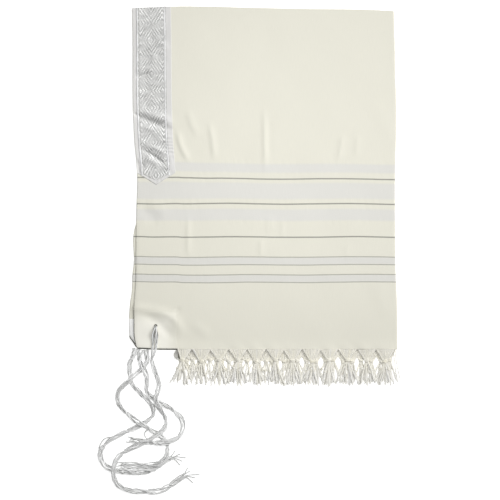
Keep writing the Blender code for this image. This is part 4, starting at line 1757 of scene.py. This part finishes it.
@dataclass
class KnottedFringe:
    """Warp ends gathered into groups, knotted, and left as twisted cords below the knots."""

    form: ClothForm
    cloth_left: float = -347.0
    left: float = -231.0
    right: float = 357.0
    groups: int = 12
    pitch: float = 49.5
    first_knot: float = -217.0
    knot_drop: float = 30.0
    knot_length: float = 8.0
    late_group: int = 6
    cord: float = 6.2
    yarn: float = 2.8
    lay: float = 17.0
    slit_shade: float = 0.62
    gathered: float = 4.6
    knot_radius: float = 5.2
    flare: tuple[float, float] = (19.0, 25.0)
    first_flare: float = 37.0
    grain: float = 1.8
    # Levels of hem, knots and tips, shifts of the early and late groups, yarns, cords, drop and seed
    layers: tuple[FringeLayer, ...] = (
        FringeLayer("fringe_back_cords", "fringe_back", 2.6, 4.4, 3.0, 7.0, 8.0, 14, 4, 93.0, 41),
        FringeLayer("fringe_third_cords", "fringe_hidden", 3.8, 5.2, 3.4, -7.0, -12.2, 14, 5, 95.0, 42),
        FringeLayer("fringe_second_cords", "", 5.6, 6.4, 4.4, 24.7, 12.2, 20, 6, 97.0, 43),
        FringeLayer("fringe_front_cords", "fringe_front", 7.6, 8.4, 6.0, 0.0, 0.0, 24, 7, 99.0, 44, True),
    )

    def hem(self, x: Array | float) -> Array:
        """Y of the hem above a place on the fringe."""
        return HEM(np.clip(np.asarray(x) - self.cloth_left, 0, self.form.width))

    def build(self, layer: FringeLayer, tree: PliedCordTree, finish: Material) -> Piece:
        """Make one quarter's fringe.

        Args:
            layer: Which one.
            tree: The tree that makes its cords.
            finish: Its material.

        Returns:
            The finished piece.
        """
        random = np.random.default_rng(layer.seed)
        guides: list[Guide] = []
        for group in range(self.groups):
            shift = layer.shift if group < self.late_group else layer.late_shift
            middle = self.first_knot + group * self.pitch + shift + random.uniform(-2.5, 2.5)
            middle = float(np.clip(middle, self.left + 9, self.right - 9))
            drop = self.knot_drop + random.uniform(-2.5, 3.0)
            between = abs(shift) > self.pitch / 4
            guides += self.heading(layer, middle, drop, 3.2 if between else 1.0, random)
            guides.append(self.knot(layer, middle, drop, random))
            cords = layer.cords - 2 - group % 2 if between else layer.cords
            guides += self.tassel(layer, middle, drop, cords, group == 0 and layer.leads, random)
        if layer.leads:
            guides += self.corner_loop(layer) + self.stray_cords(layer)
        sizes = {"diameter": self.cord, "lay": self.lay, "step": self.grain}
        metres = {name: size * MM for name, size in sizes.items()}
        piece = tree.grow(layer.name, guides, seed=layer.seed, material=finish, **metres)
        nodes = [layer.node] if layer.node else []
        return hand_over(piece, Slot.FRINGE, *nodes)

    def guide(self, x: Array, y: Array, z: Array, girth: Array, tone: Array) -> Guide:
        """Line of one cord, kept above the floor."""
        level = np.maximum(z, self.cord * girth / 2 + 0.1)
        return Guide(np.stack([x, y, level], axis=1) * MM, girth, tone)

    def heading(
        self, layer: FringeLayer, middle: float, drop: float, square: float, random: Random
    ) -> list[Guide]:
        """Run a group's yarns from the hem to its knot, with painted shade on the lead fringe's yarns beside
        each slit.

        Args:
            layer: The fringe that they belong to.
            middle: Where the knot is, along the hem.
            drop: How far the knot is below the hem.
            square: 1 for yarns that run straight, more for ones that turn in only near the knot.
            random: Source of the small differences.

        Returns:
            A line for each yarn.
        """
        guides = []
        share = np.linspace(0, 1, 8)
        early = middle < self.first_knot + 2.6 * self.pitch
        # Painted shade in the slit beside each group of the lead fringe, deeper in the early groups.
        depth = self.slit_shade * random.uniform(0.7, 1.0) if early else self.slit_shade * random.uniform(0.1, 0.6)
        rightward = not early and random.uniform() < 0.45
        for i in range(layer.yarns):
            side = (i + 0.5) / layer.yarns * 2 - 1
            start_x = np.clip(middle + side * self.pitch / 2 * 1.04, self.left, self.right)
            lifted = float(self.form.relief(start_x - self.cloth_left, 0.0)) if layer.leads else 0.0
            end_x = middle + side * self.gathered
            x = start_x + (end_x - start_x) * share**square + random.uniform(-0.4, 0.4)
            y = self.hem(start_x) + 1.6 - (drop + 2.6) * share
            bow = math.sin(i * 2.4) * 0.7
            start_z = layer.hem_level + lifted
            z = start_z + (layer.knot_level - 0.5 - start_z) * share + bow * np.sin(math.pi * share)
            girth = np.full(share.shape, self.yarn / self.cord * random.uniform(0.88, 1.14))
            tone = random.uniform(0.45, 0.75) + 0.2 * share
            # Painted shade on the two yarns of the lead fringe next to the slit.
            into_painted_shade = layer.yarns - 1 - i if rightward else i
            if layer.leads and into_painted_shade < 2:
                tone = tone - depth * np.sin(math.pi * np.clip(share * 1.3, 0, 1)) ** 0.5 * (1 - 0.4 * into_painted_shade)
            guides.append(self.guide(x, y, z, girth, tone))
        return guides

    def knot(self, layer: FringeLayer, middle: float, drop: float, random: Random) -> Guide:
        """Wrap a group in an overhand knot, pressed flat.

        Args:
            layer: The fringe that it belongs to.
            middle: Where the knot is, along the hem.
            drop: How far it is below the hem.
            random: Source of the small differences.

        Returns:
            The line of its wraps.
        """
        turns = random.uniform(2.2, 2.8)
        at = np.linspace(0, 1, 26)
        angle = 2 * math.pi * turns * at + random.uniform(0, 6)
        swell = 0.75 + 0.35 * np.sin(math.pi * at)
        slant = random.uniform(-1.6, 1.6)
        x = middle + self.knot_radius * swell * np.cos(angle)
        y = self.hem(middle) - drop - self.knot_length * (at - 0.5) + slant * np.cos(angle)
        z = layer.knot_level + 2.0 * swell * np.sin(angle)
        # Painted light and shade: the tops of the wraps lighter and their undersides darker, down into the
        # shade colour.
        tone = random.uniform(0.35, 0.55) + 0.55 * np.sin(angle)
        return self.guide(x, y, z, np.full(at.shape, 0.8), tone)

    def tassel(
        self, layer: FringeLayer, middle: float, drop: float, cords: int, first: bool, random: Random
    ) -> list[Guide]:
        """Hang cords from a knot, splayed and uneven, and greyer at their tips.

        Args:
            layer: The fringe that they belong to.
            middle: Where the knot is, along the hem.
            drop: How far it is below the hem.
            cords: How many cords hang.
            first: Whether the group is the first, whose outer cords splay wide.
            random: Source of the small differences.

        Returns:
            A line for each cord, and for the small knots in some.
        """
        guides = []
        top = self.hem(middle) - drop - self.knot_length * 0.3
        share = np.linspace(0, 1, 14)
        flare = random.uniform(*self.flare)
        lean = random.uniform(-5, 5)
        for i in range(cords):
            side = (i + 0.5) / cords * 2 - 1
            spread = side * flare + lean + random.uniform(-3.5, 3.5)
            if first and side < 0:
                spread = side * self.first_flare + random.uniform(-2.0, 2.0)
            length = layer.drop - drop - random.uniform(0, 14) - 4 * abs(side)
            bend = random.uniform(-3.0, 3.0)
            wave = random.uniform(-1.6, 1.6) * np.sin(2 * math.pi * share * random.uniform(1.0, 2.2))
            x = middle + side * 3.6 + spread * share**1.05 + bend * np.sin(math.pi * share) + wave * share
            y = top - length * share
            level = random.uniform(-1.0, 1.4)
            z = layer.knot_level + (layer.tip_level + level - layer.knot_level) * smooth(0, 0.75, share)
            girth = random.uniform(0.72, 1.1) * (0.8 + 0.2 * smooth(0, 0.5, share))
            girth = girth * (1 - 0.3 * smooth(0.88, 1.0, share))
            tone = 0.75 - 0.2 * random.uniform() - 0.55 * smooth(0.1, 0.8, share)
            guides.append(self.guide(x, y, z, girth, tone))
            if random.uniform() < 0.2:
                guides.append(self.small_knot(x, y, z, random))
        return guides

    def small_knot(self, x: Array, y: Array, z: Array, random: Random) -> Guide:
        """Tie an overhand knot in one cord of a tassel.

        Args:
            x, y, z: The cord's line.
            random: Source of the knot's place and turn.

        Returns:
            The knot's line.
        """
        at = int(random.integers(4, 8))
        share = np.linspace(0, 1, 14)
        angle = 2 * math.pi * 1.5 * share + random.uniform(0, 6)
        knot_x = x[at] + 2.2 * np.cos(angle)
        knot_y = y[at] - 4.4 * (share - 0.5) + 0.9 * np.sin(angle)
        knot_z = z[at] + 1.4 * np.sin(angle)
        girth, tone = np.full(share.shape, 0.75), np.full(share.shape, 0.7)
        return self.guide(knot_x, knot_y, knot_z, girth, tone)

    def stray_cords(self, layer: FringeLayer) -> list[Guide]:
        """Hang two cords free from the hem's far corner, out past the fold.

        Args:
            layer: The fringe that they belong to.

        Returns:
            A line for each cord.
        """
        guides = []
        share = np.linspace(0, 1, 14)
        for i in range(2):
            x = self.right - 1.0 - 4 * i + (14.0 - 3 * i) * share**1.6
            y = self.hem(self.right) + 1.0 - (83.0 + 6 * i) * share
            z = layer.hem_level + (layer.tip_level - 2 - layer.hem_level) * share
            guides.append(self.guide(x, y, z, np.full(share.shape, 0.55), 0.3 - 0.5 * share))
        return guides

    def corner_loop(self, layer: FringeLayer) -> list[Guide]:
        """Bow slack warp ends out at the fringe's first corner.

        Args:
            layer: The fringe that they belong to.

        Returns:
            A line for each yarn.
        """
        guides = []
        for i in range(8):
            out = 10.5 - 2.0 * i
            bow = [1.0 + i, 0.6 * i - 0.6 * out, 0.4 * i - out, 0.5 * i - 0.75 * out, 4.0 + 0.3 * i, 9.0]
            x = self.left + np.array(bow)
            y = self.hem(self.left) + np.array([1.0, -7.0, -15.0, -24.0, -32.0, -38.0])
            z = np.linspace(layer.hem_level - 1, layer.knot_level - 1.5, 6) - 0.15 * i
            route = smooth_path(np.stack([x, y, z], axis=1), 3.0)
            girth = np.full(len(route), self.yarn / self.cord)
            # Painted shade: the loop lies in the dark slit beside the first group, its last three yarns
            # darkest.
            tone = np.full(len(route), -0.4 if i < 5 else -0.95)
            guides.append(self.guide(*route.T, girth, tone))
        return guides


# Routes of the tzitzit: each humps over those that it crosses, and rests where no height is given
TZITZIT_ROUTES = {
    "tzitzit_front": (
        (-290.8, -350.6, 14.7), (-291.9, -363.8, 14.7), (-292.7, -380.0, 14.7), (-293.8, -396.2, 14.8),
        (-295.5, -408.0, 15.0), (-297.3, -417.5, 14.7), (-299.3, -427.5, 11.8), (-300.9, -438.5, 6.8),
        (-299.7, -450.0, 4.2), (-293.8, -469.1), (-286.7, -489.4), (-283.0, -509.6, 4.0),
        (-285.9, -528.5, 6.2), (-290.3, -546.1, 11.2), (-286.5, -561.0, 11.6), (-276.5, -577.1, 6.0),
        (-266.2, -594.7, 4.0), (-263.3, -613.6, 4.0), (-271.1, -631.1, 8.6), (-287.8, -645.2, 12.0),
        (-311.6, -659.5, 12.4), (-338.6, -671.6, 10.4), (-362.9, -684.3, 4.0), (-385.8, -698.6, 4.4),
        (-399.1, -716.2, 8.8), (-404.5, -736.4, 12.3), (-404.5, -755.3, 8.6), (-397.4, -773.2, 4.2),
        (-382.3, -786.7), (-360.2, -793.7), (-330.5, -796.9), (-300.8, -797.7), (-273.8, -793.2),
        (-252.2, -781.3), (-229.2, -766.1), (-211.7, -751.3),
    ),
    "tzitzit_second": (
        (-344.8, -410.6), (-347.8, -421.9), (-355.3, -436.7), (-360.7, -454.3), (-360.7, -471.8),
        (-359.1, -488.0), (-356.9, -500.2), (-349.4, -513.7), (-337.0, -525.8), (-326.2, -538.2),
        (-313.7, -549.0), (-304.0, -560.9), (-297.5, -577.1), (-298.1, -590.6), (-307.5, -602.2),
        (-326.4, -614.1), (-357.5, -629.8), (-389.9, -646.0), (-419.6, -662.2), (-436.3, -682.4),
        (-439.6, -704.0), (-427.7, -728.3), (-408.8, -739.1), (-387.2, -743.7), (-352.1, -746.4),
        (-314.3, -742.4), (-291.9, -732.6), (-269.7, -715.9), (-256.2, -708.6), (-245.4, -704.0),
    ),
    "tzitzit_third": (
        (-317.0, -414.3), (-314.3, -434.0), (-315.9, -448.9), (-325.6, -464.3), (-342.6, -479.4, 8.0),
        (-359.1, -495.0, 12.1), (-378.0, -511.8, 8.0), (-392.0, -528.5, 4.1), (-394.7, -548.8),
        (-384.5, -570.4), (-366.9, -587.9, 4.0), (-348.0, -602.8, 8.2), (-326.8, -616.4, 12.0),
        (-308.0, -628.0, 8.0), (-290.0, -639.7, 4.0), (-269.7, -654.9), (-259.2, -673.0),
        (-258.7, -690.5, 7.0), (-264.9, -708.4, 10.8), (-279.7, -720.2, 12.2), (-303.5, -726.7, 6.2),
        (-330.5, -729.2), (-358.0, -729.7), (-386.0, -727.8),
    ),
    "tzitzit_back": (
        (-329.7, -414.3), (-334.8, -431.3, 4.4), (-331.6, -448.9, 8.6), (-322.7, -465.2, 11.4),
        (-314.3, -486.7, 7.8), (-314.3, -505.6, 4.1), (-316.4, -521.8), (-309.4, -535.6), (-294.8, -548.0),
        (-279.2, -559.6), (-261.6, -567.9), (-240.0, -581.2), (-223.0, -600.3), (-218.2, -625.2),
        (-229.5, -650.0, 4.8), (-249.0, -660.0, 9.8), (-269.0, -664.0, 11.2), (-288.0, -664.7, 6.6),
        (-308.0, -664.5, 3.9), (-333.2, -662.2), (-362.9, -657.1),
    ),
}

# Single strings that leave each bundle, from where they leave it to their tips
LOOSE_STRINGS = {
    "tzitzit_front": (
        ((-229.0, -765.0, 5.0), (-213.5, -749.0, 4.0), (-203.6, -732.7, 1.6)),
        ((-229.0, -766.0, 4.0), (-211.0, -750.0, 4.0), (-198.5, -742.5, 1.4)),
        ((-229.2, -766.1, 4.0), (-206.0, -754.0, 4.0), (-172.0, -751.8, 1.4)),
        ((-230.0, -767.0, 4.0), (-208.0, -757.0, 3.0), (-184.0, -761.0, 1.4)),
        ((-233.0, -768.0, 5.0), (-211.0, -759.0, 3.0), (-190.1, -774.2, 1.4)),
    ),
    "tzitzit_second": (
        ((-260.0, -710.0, 5.0), (-248.0, -701.0, 4.0), (-238.7, -687.8, 1.6)),
        ((-260.0, -710.0, 5.0), (-240.0, -703.0, 4.0), (-224.0, -696.0, 1.4)),
        ((-257.0, -709.0, 4.0), (-236.0, -704.0, 3.0), (-209.0, -706.7, 1.4)),
        ((-257.0, -709.0, 4.0), (-239.0, -708.0, 3.0), (-219.0, -716.0, 1.4)),
        ((-260.0, -711.0, 4.0), (-242.0, -710.0, 3.0), (-225.2, -727.0, 1.4)),
        ((-439.6, -704.0, 4.0), (-444.0, -680.0, 2.0), (-430.0, -656.0, 1.4), (-409.0, -650.0, 1.4)),
    ),
    "tzitzit_third": (
        ((-310.0, -727.5, 6.0), (-348.0, -719.0, 2.0), (-393.0, -719.0, 1.4)),
        ((-320.0, -728.5, 5.0), (-356.0, -724.0, 2.0), (-399.0, -730.0, 1.4)),
        ((-330.0, -729.0, 5.0), (-364.0, -735.0, 2.0), (-390.0, -744.0, 1.4)),
    ),
    "tzitzit_back": (
        ((-333.2, -662.2, 5.0), (-352.0, -653.0, 2.0), (-366.0, -650.0, 1.4)),
        ((-308.0, -664.5, 5.0), (-322.0, -642.0, 2.0), (-307.0, -626.0, 1.4)),
        ((-350.0, -660.0, 5.0), (-364.0, -665.0, 2.0), (-372.0, -663.0, 1.4)),
    ),
}


@dataclass
class Tzitzit:
    """The strings at the four stacked corners, each corner's eight lying as one loose bundle.

    The strings double over at the eyelet, so a bundle is two legs of four. The legs wander round each
    other, and so do the strings of a leg.
    """

    form: ClothForm
    legs: int = 2
    strings_per_leg: int = 4
    string: float = 3.6
    bundle: float = 13.0
    leg_reach: float = 3.8
    string_reach: float = 2.15
    leg_lay: float = 230.0
    string_lay: float = 92.0
    flatness: float = 0.45
    half_width: float = 8.4
    crimp: float = 0.3
    over_patch: float = 58.0
    at_rest: float = 3.8
    ply_lay: float = 7.5
    grain: float = 1.3
    reading_step: float = 3.0
    loose_step: float = 4.0
    loose_tone: float = -0.1

    def bundle_guides(self, name: str, centre: Array, random: Random) -> list[Guide]:
        """Wind the strings of one bundle loosely about its centre line.

        Args:
            name: Which bundle.
            centre: Points of its centre line, in millimetres.
            random: Source of the small differences.

        Returns:
            A line for each string.
        """
        reach = reach_along(centre)
        way = np.gradient(centre, axis=0)
        way /= np.linalg.norm(way, axis=1)[:, None]
        beside = np.stack([-way[:, 1], way[:, 0], np.zeros(len(way))], axis=1)
        beside /= np.linalg.norm(beside, axis=1)[:, None]
        above = np.cross(way, beside)
        frays = 1 + 0.35 * smooth(0.7, 0.94, reach / reach[-1])
        leads = name == "tzitzit_front"
        guides = []
        for leg in range(self.legs):
            wound = np.maximum(reach - self.over_patch, 0) if leads else reach
            turn = math.pi * leg + 2 * math.pi * wound / self.leg_lay + 1.1 * np.sin(wound / 47)
            apart = np.sign(np.cos(turn)) * np.abs(np.cos(turn)) ** 0.3
            out = self.leg_reach * (1 + 0.25 * np.sin(reach / 31 + 2 * leg))
            if leads:
                out += 0.7 * smooth(2, 9, reach) * smooth(74, 56, reach)
            for i in range(self.strings_per_leg):
                own = 2 * math.pi * (i / self.strings_per_leg + reach / self.string_lay)
                own = own + random.uniform(-0.5, 0.5) + 0.8 * np.sin(reach / random.uniform(14, 25) + i)
                gap = self.string_reach * (1 + 0.4 * np.sin(reach / random.uniform(10, 26) + 2 * i))
                crimps = 2 * math.pi * reach / random.uniform(12, 20) + random.uniform(0, 6)
                side = (out * apart + gap * np.cos(own)) * frays + self.crimp * np.sin(crimps)
                high = out * np.sin(turn) * self.flatness + gap * np.sin(own) * 0.85
                if leads:
                    high = high - 4.0 * smooth(12, 0, reach)
                    side = side * (0.35 + 0.65 * smooth(0, 26, reach))
                side = np.clip(side, -self.half_width + 1, self.half_width - 1)
                line = centre + side[:, None] * beside + (high[:, None] - 0.3) * above
                lowest = self.form.level(line[:, 0], line[:, 1]) * smooth(0, 5, reach) + self.string / 2 + 0.1
                line[:, 2] = np.maximum(line[:, 2], lowest if leads else self.string / 2 + 0.1)
                end = len(reach) - int(random.integers(0, 4)) * (i > 0)
                tone = 0.65 + 0.22 * np.sin(reach / random.uniform(12, 30) + random.uniform(0, 6))
                # Painted shade on strings lying under the others, and in the gaps between the front bundle's
                # strings over the patch.
                tone = tone - 0.7 * smooth(0.0, -2.2, high)
                if leads:
                    tone = tone - (0.1 + 0.75 * (i % 2)) * smooth(70, 50, reach)
                guides.append(Guide(line[:end] * MM, None, tone[:end]))
        return guides

    def build(self, name: str, tree: PliedCordTree, finish: Material) -> None:
        """Args:
            name: Which bundle.
            tree: The tree that makes its strings.
            finish: Their material.
        """
        random = np.random.default_rng(len(name) * 7 + 1)
        route = [(*place, self.at_rest)[:3] for place in TZITZIT_ROUTES[name]]
        centre = smooth_path(route, self.reading_step)
        sizes = {"diameter": self.string * MM, "lay": self.ply_lay * MM, "step": self.grain * MM}
        strings = self.bundle_guides(name, centre, random)
        piece = tree.grow(name + "_strings", strings, seed=6, material=finish, **sizes)
        hand_over(piece, Slot.TZITZIT, name)
        loose = []
        for stray in LOOSE_STRINGS[name]:
            line = smooth_path(stray, self.loose_step)
            loose.append(Guide(line * MM, None, np.full(len(line), self.loose_tone)))
        ends = tree.grow(name + "_loose_ends", loose, seed=9, material=finish, **sizes)
        hand_over(ends, Slot.TZITZIT)


@dataclass(frozen=True)
class Softbox:
    """Square light: where it hangs, its side in metres and its power in watts."""

    name: str
    place: tuple[float, float, float]
    side: float
    power: float


@dataclass
class Studio:
    """Pale floor, soft light and a camera straight above."""

    aim: tuple[float, float] = (-0.0362, -0.1451)
    camera_height: float = 4.508
    lens: float = 120.0
    sensor: float = 36.0
    clip_end: float = 60.0
    floor_side: float = 40.0
    floor_level: float = -0.6
    floor_glow: float = 0.55
    sky: float = 0.325
    target: tuple[float, float, float] = (0.0, 0.16, 0.0)
    softboxes: tuple[Softbox, ...] = (
        Softbox("key_softbox", (5.2, 2.2, 3.7), 2.2, 250.0),
        Softbox("top_softbox", (0.0, 0.12, 1.12), 0.8, 6.9),
    )

    def build(self) -> None:
        """Set up the camera, the lights and the floor."""
        self.camera()
        self.lights()
        self.floor()
        bpy.context.scene.view_settings.view_transform = "Standard"

    def camera(self) -> None:
        """Hang the camera over the shawl, looking straight down."""
        data = bpy.data.cameras.new("camera")
        data.lens = self.lens
        data.sensor_width = self.sensor
        data.clip_end = self.clip_end
        camera = bpy.data.objects.new("camera", data)
        camera.location = (*self.aim, self.camera_height)
        bpy.context.scene.collection.objects.link(camera)
        bpy.context.scene.camera = camera

    def lights(self) -> None:
        """Light the shawl from all round, with softboxes at the upper right and overhead."""
        world = bpy.data.worlds.new("studio")
        world.use_nodes = True
        sky = world.node_tree.nodes["Background"]
        sky.inputs["Color"].default_value = (1.0, 1.0, 1.0, 1.0)
        sky.inputs["Strength"].default_value = self.sky
        bpy.context.scene.world = world
        for box in self.softboxes:
            data = bpy.data.lights.new(box.name, "AREA")
            data.shape = "SQUARE"
            data.size = box.side
            data.energy = box.power
            light = bpy.data.objects.new(box.name, data)
            light.location = box.place
            way = Vector(self.target) - light.location
            light.rotation_euler = way.to_track_quat("-Z", "Y").to_euler()
            light.visible_camera = False
            bpy.context.scene.collection.objects.link(light)

    def floor(self) -> None:
        """Lay the floor just under the shawl."""
        half = self.floor_side / 2
        corners = [(-half, -half), (half, -half), (half, half), (-half, half)]
        mesh = bpy.data.meshes.new("floor")
        mesh.from_pydata([(x, y, self.floor_level * MM) for x, y in corners], [], [(0, 1, 2, 3)])
        material, tree, shader = new_material("white paper sweep")
        looks = {
            "Base Color": linear("#fbfbfb"),
            "Roughness": 0.95,
            "Specular IOR Level": 0.1,
            "Emission Color": (1.0, 1.0, 1.0, 1.0),
            "Emission Strength": self.floor_glow,
        }
        feed(tree, shader, looks)
        add_piece("floor", mesh, material)


def main() -> None:
    """Build every piece of the shawl, then the studio."""
    logging.basicConfig(level=logging.INFO, format="%(name)s: %(message)s")
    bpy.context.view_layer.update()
    form, eyelet, drawing = ClothForm(), Eyelet(), Lozenges()
    wool = WoolFinish().make()
    satin = SatinFinish().make()
    brocade = BrocadeFinish(drawing=drawing).make()
    patch = PatchFinish().make()
    # Whiter copy of the patch cloth for the second quarter's strip: painted light on a strip that lies in the
    # front quarter's shade.
    lower_patch_painted_light = PatchFinish(ground="#fbfbf9", edge_tint="#fbfbf9").make()
    fringe_yarn = YarnFinish("spun wool fringe yarn", "#f4f3f0", "#f5f1e1", "#6b6954").make()
    tzitzit_yarn = YarnFinish("spun wool tzitzit yarn", "#d6d7d5", "#fdfdfd", "#868785").make()
    braid_yarn = YarnFinish("bright rayon braid", "#c9c9c9", "#ffffff").make()
    thread = YarnFinish("sewing thread", "#cfcdc3", "#dedcd2").make()
    cords, stitches = PliedCordTree(), StitchRowTree()

    cloth = FoldedCloth(form, eyelet)
    outer, inner = cloth.outer(wool), cloth.inner(wool)
    band = Neckband(form)
    band_pieces = [
        band.satin(satin),
        band.panel(brocade, drawing),
        band.braids(cords, braid_yarn),
        band.stitching(stitches, thread),
    ]
    patches = CornerPatches(form, eyelet)
    # Dark grey thread: painted shadow cords at the corner's edges, and the eyelet's stitches.
    shadow_cord_and_eyelet_thread = YarnFinish("grey overlock thread", "#5f5f58", "#8d8d85", "#4a4a44").make()
    patch_pieces = [
        patches.front(patch),
        patches.stitching(stitches, thread),
        patches.worked_eyelet(cords, shadow_cord_and_eyelet_thread),
    ]
    lower_pieces = [patches.second(lower_patch_painted_light), patches.painted_shadow_cords(cords, shadow_cord_and_eyelet_thread)]
    patch_pieces.append(patches.back(patch))
    fringe = KnottedFringe(form)
    fringes = {layer.name: fringe.build(layer, cords, fringe_yarn) for layer in fringe.layers}
    tzitzit = Tzitzit(form)
    for name in TZITZIT_ROUTES:
        tzitzit.build(name, cords, tzitzit_yarn)
    Studio().build()


if __name__ == "__main__":
    main()
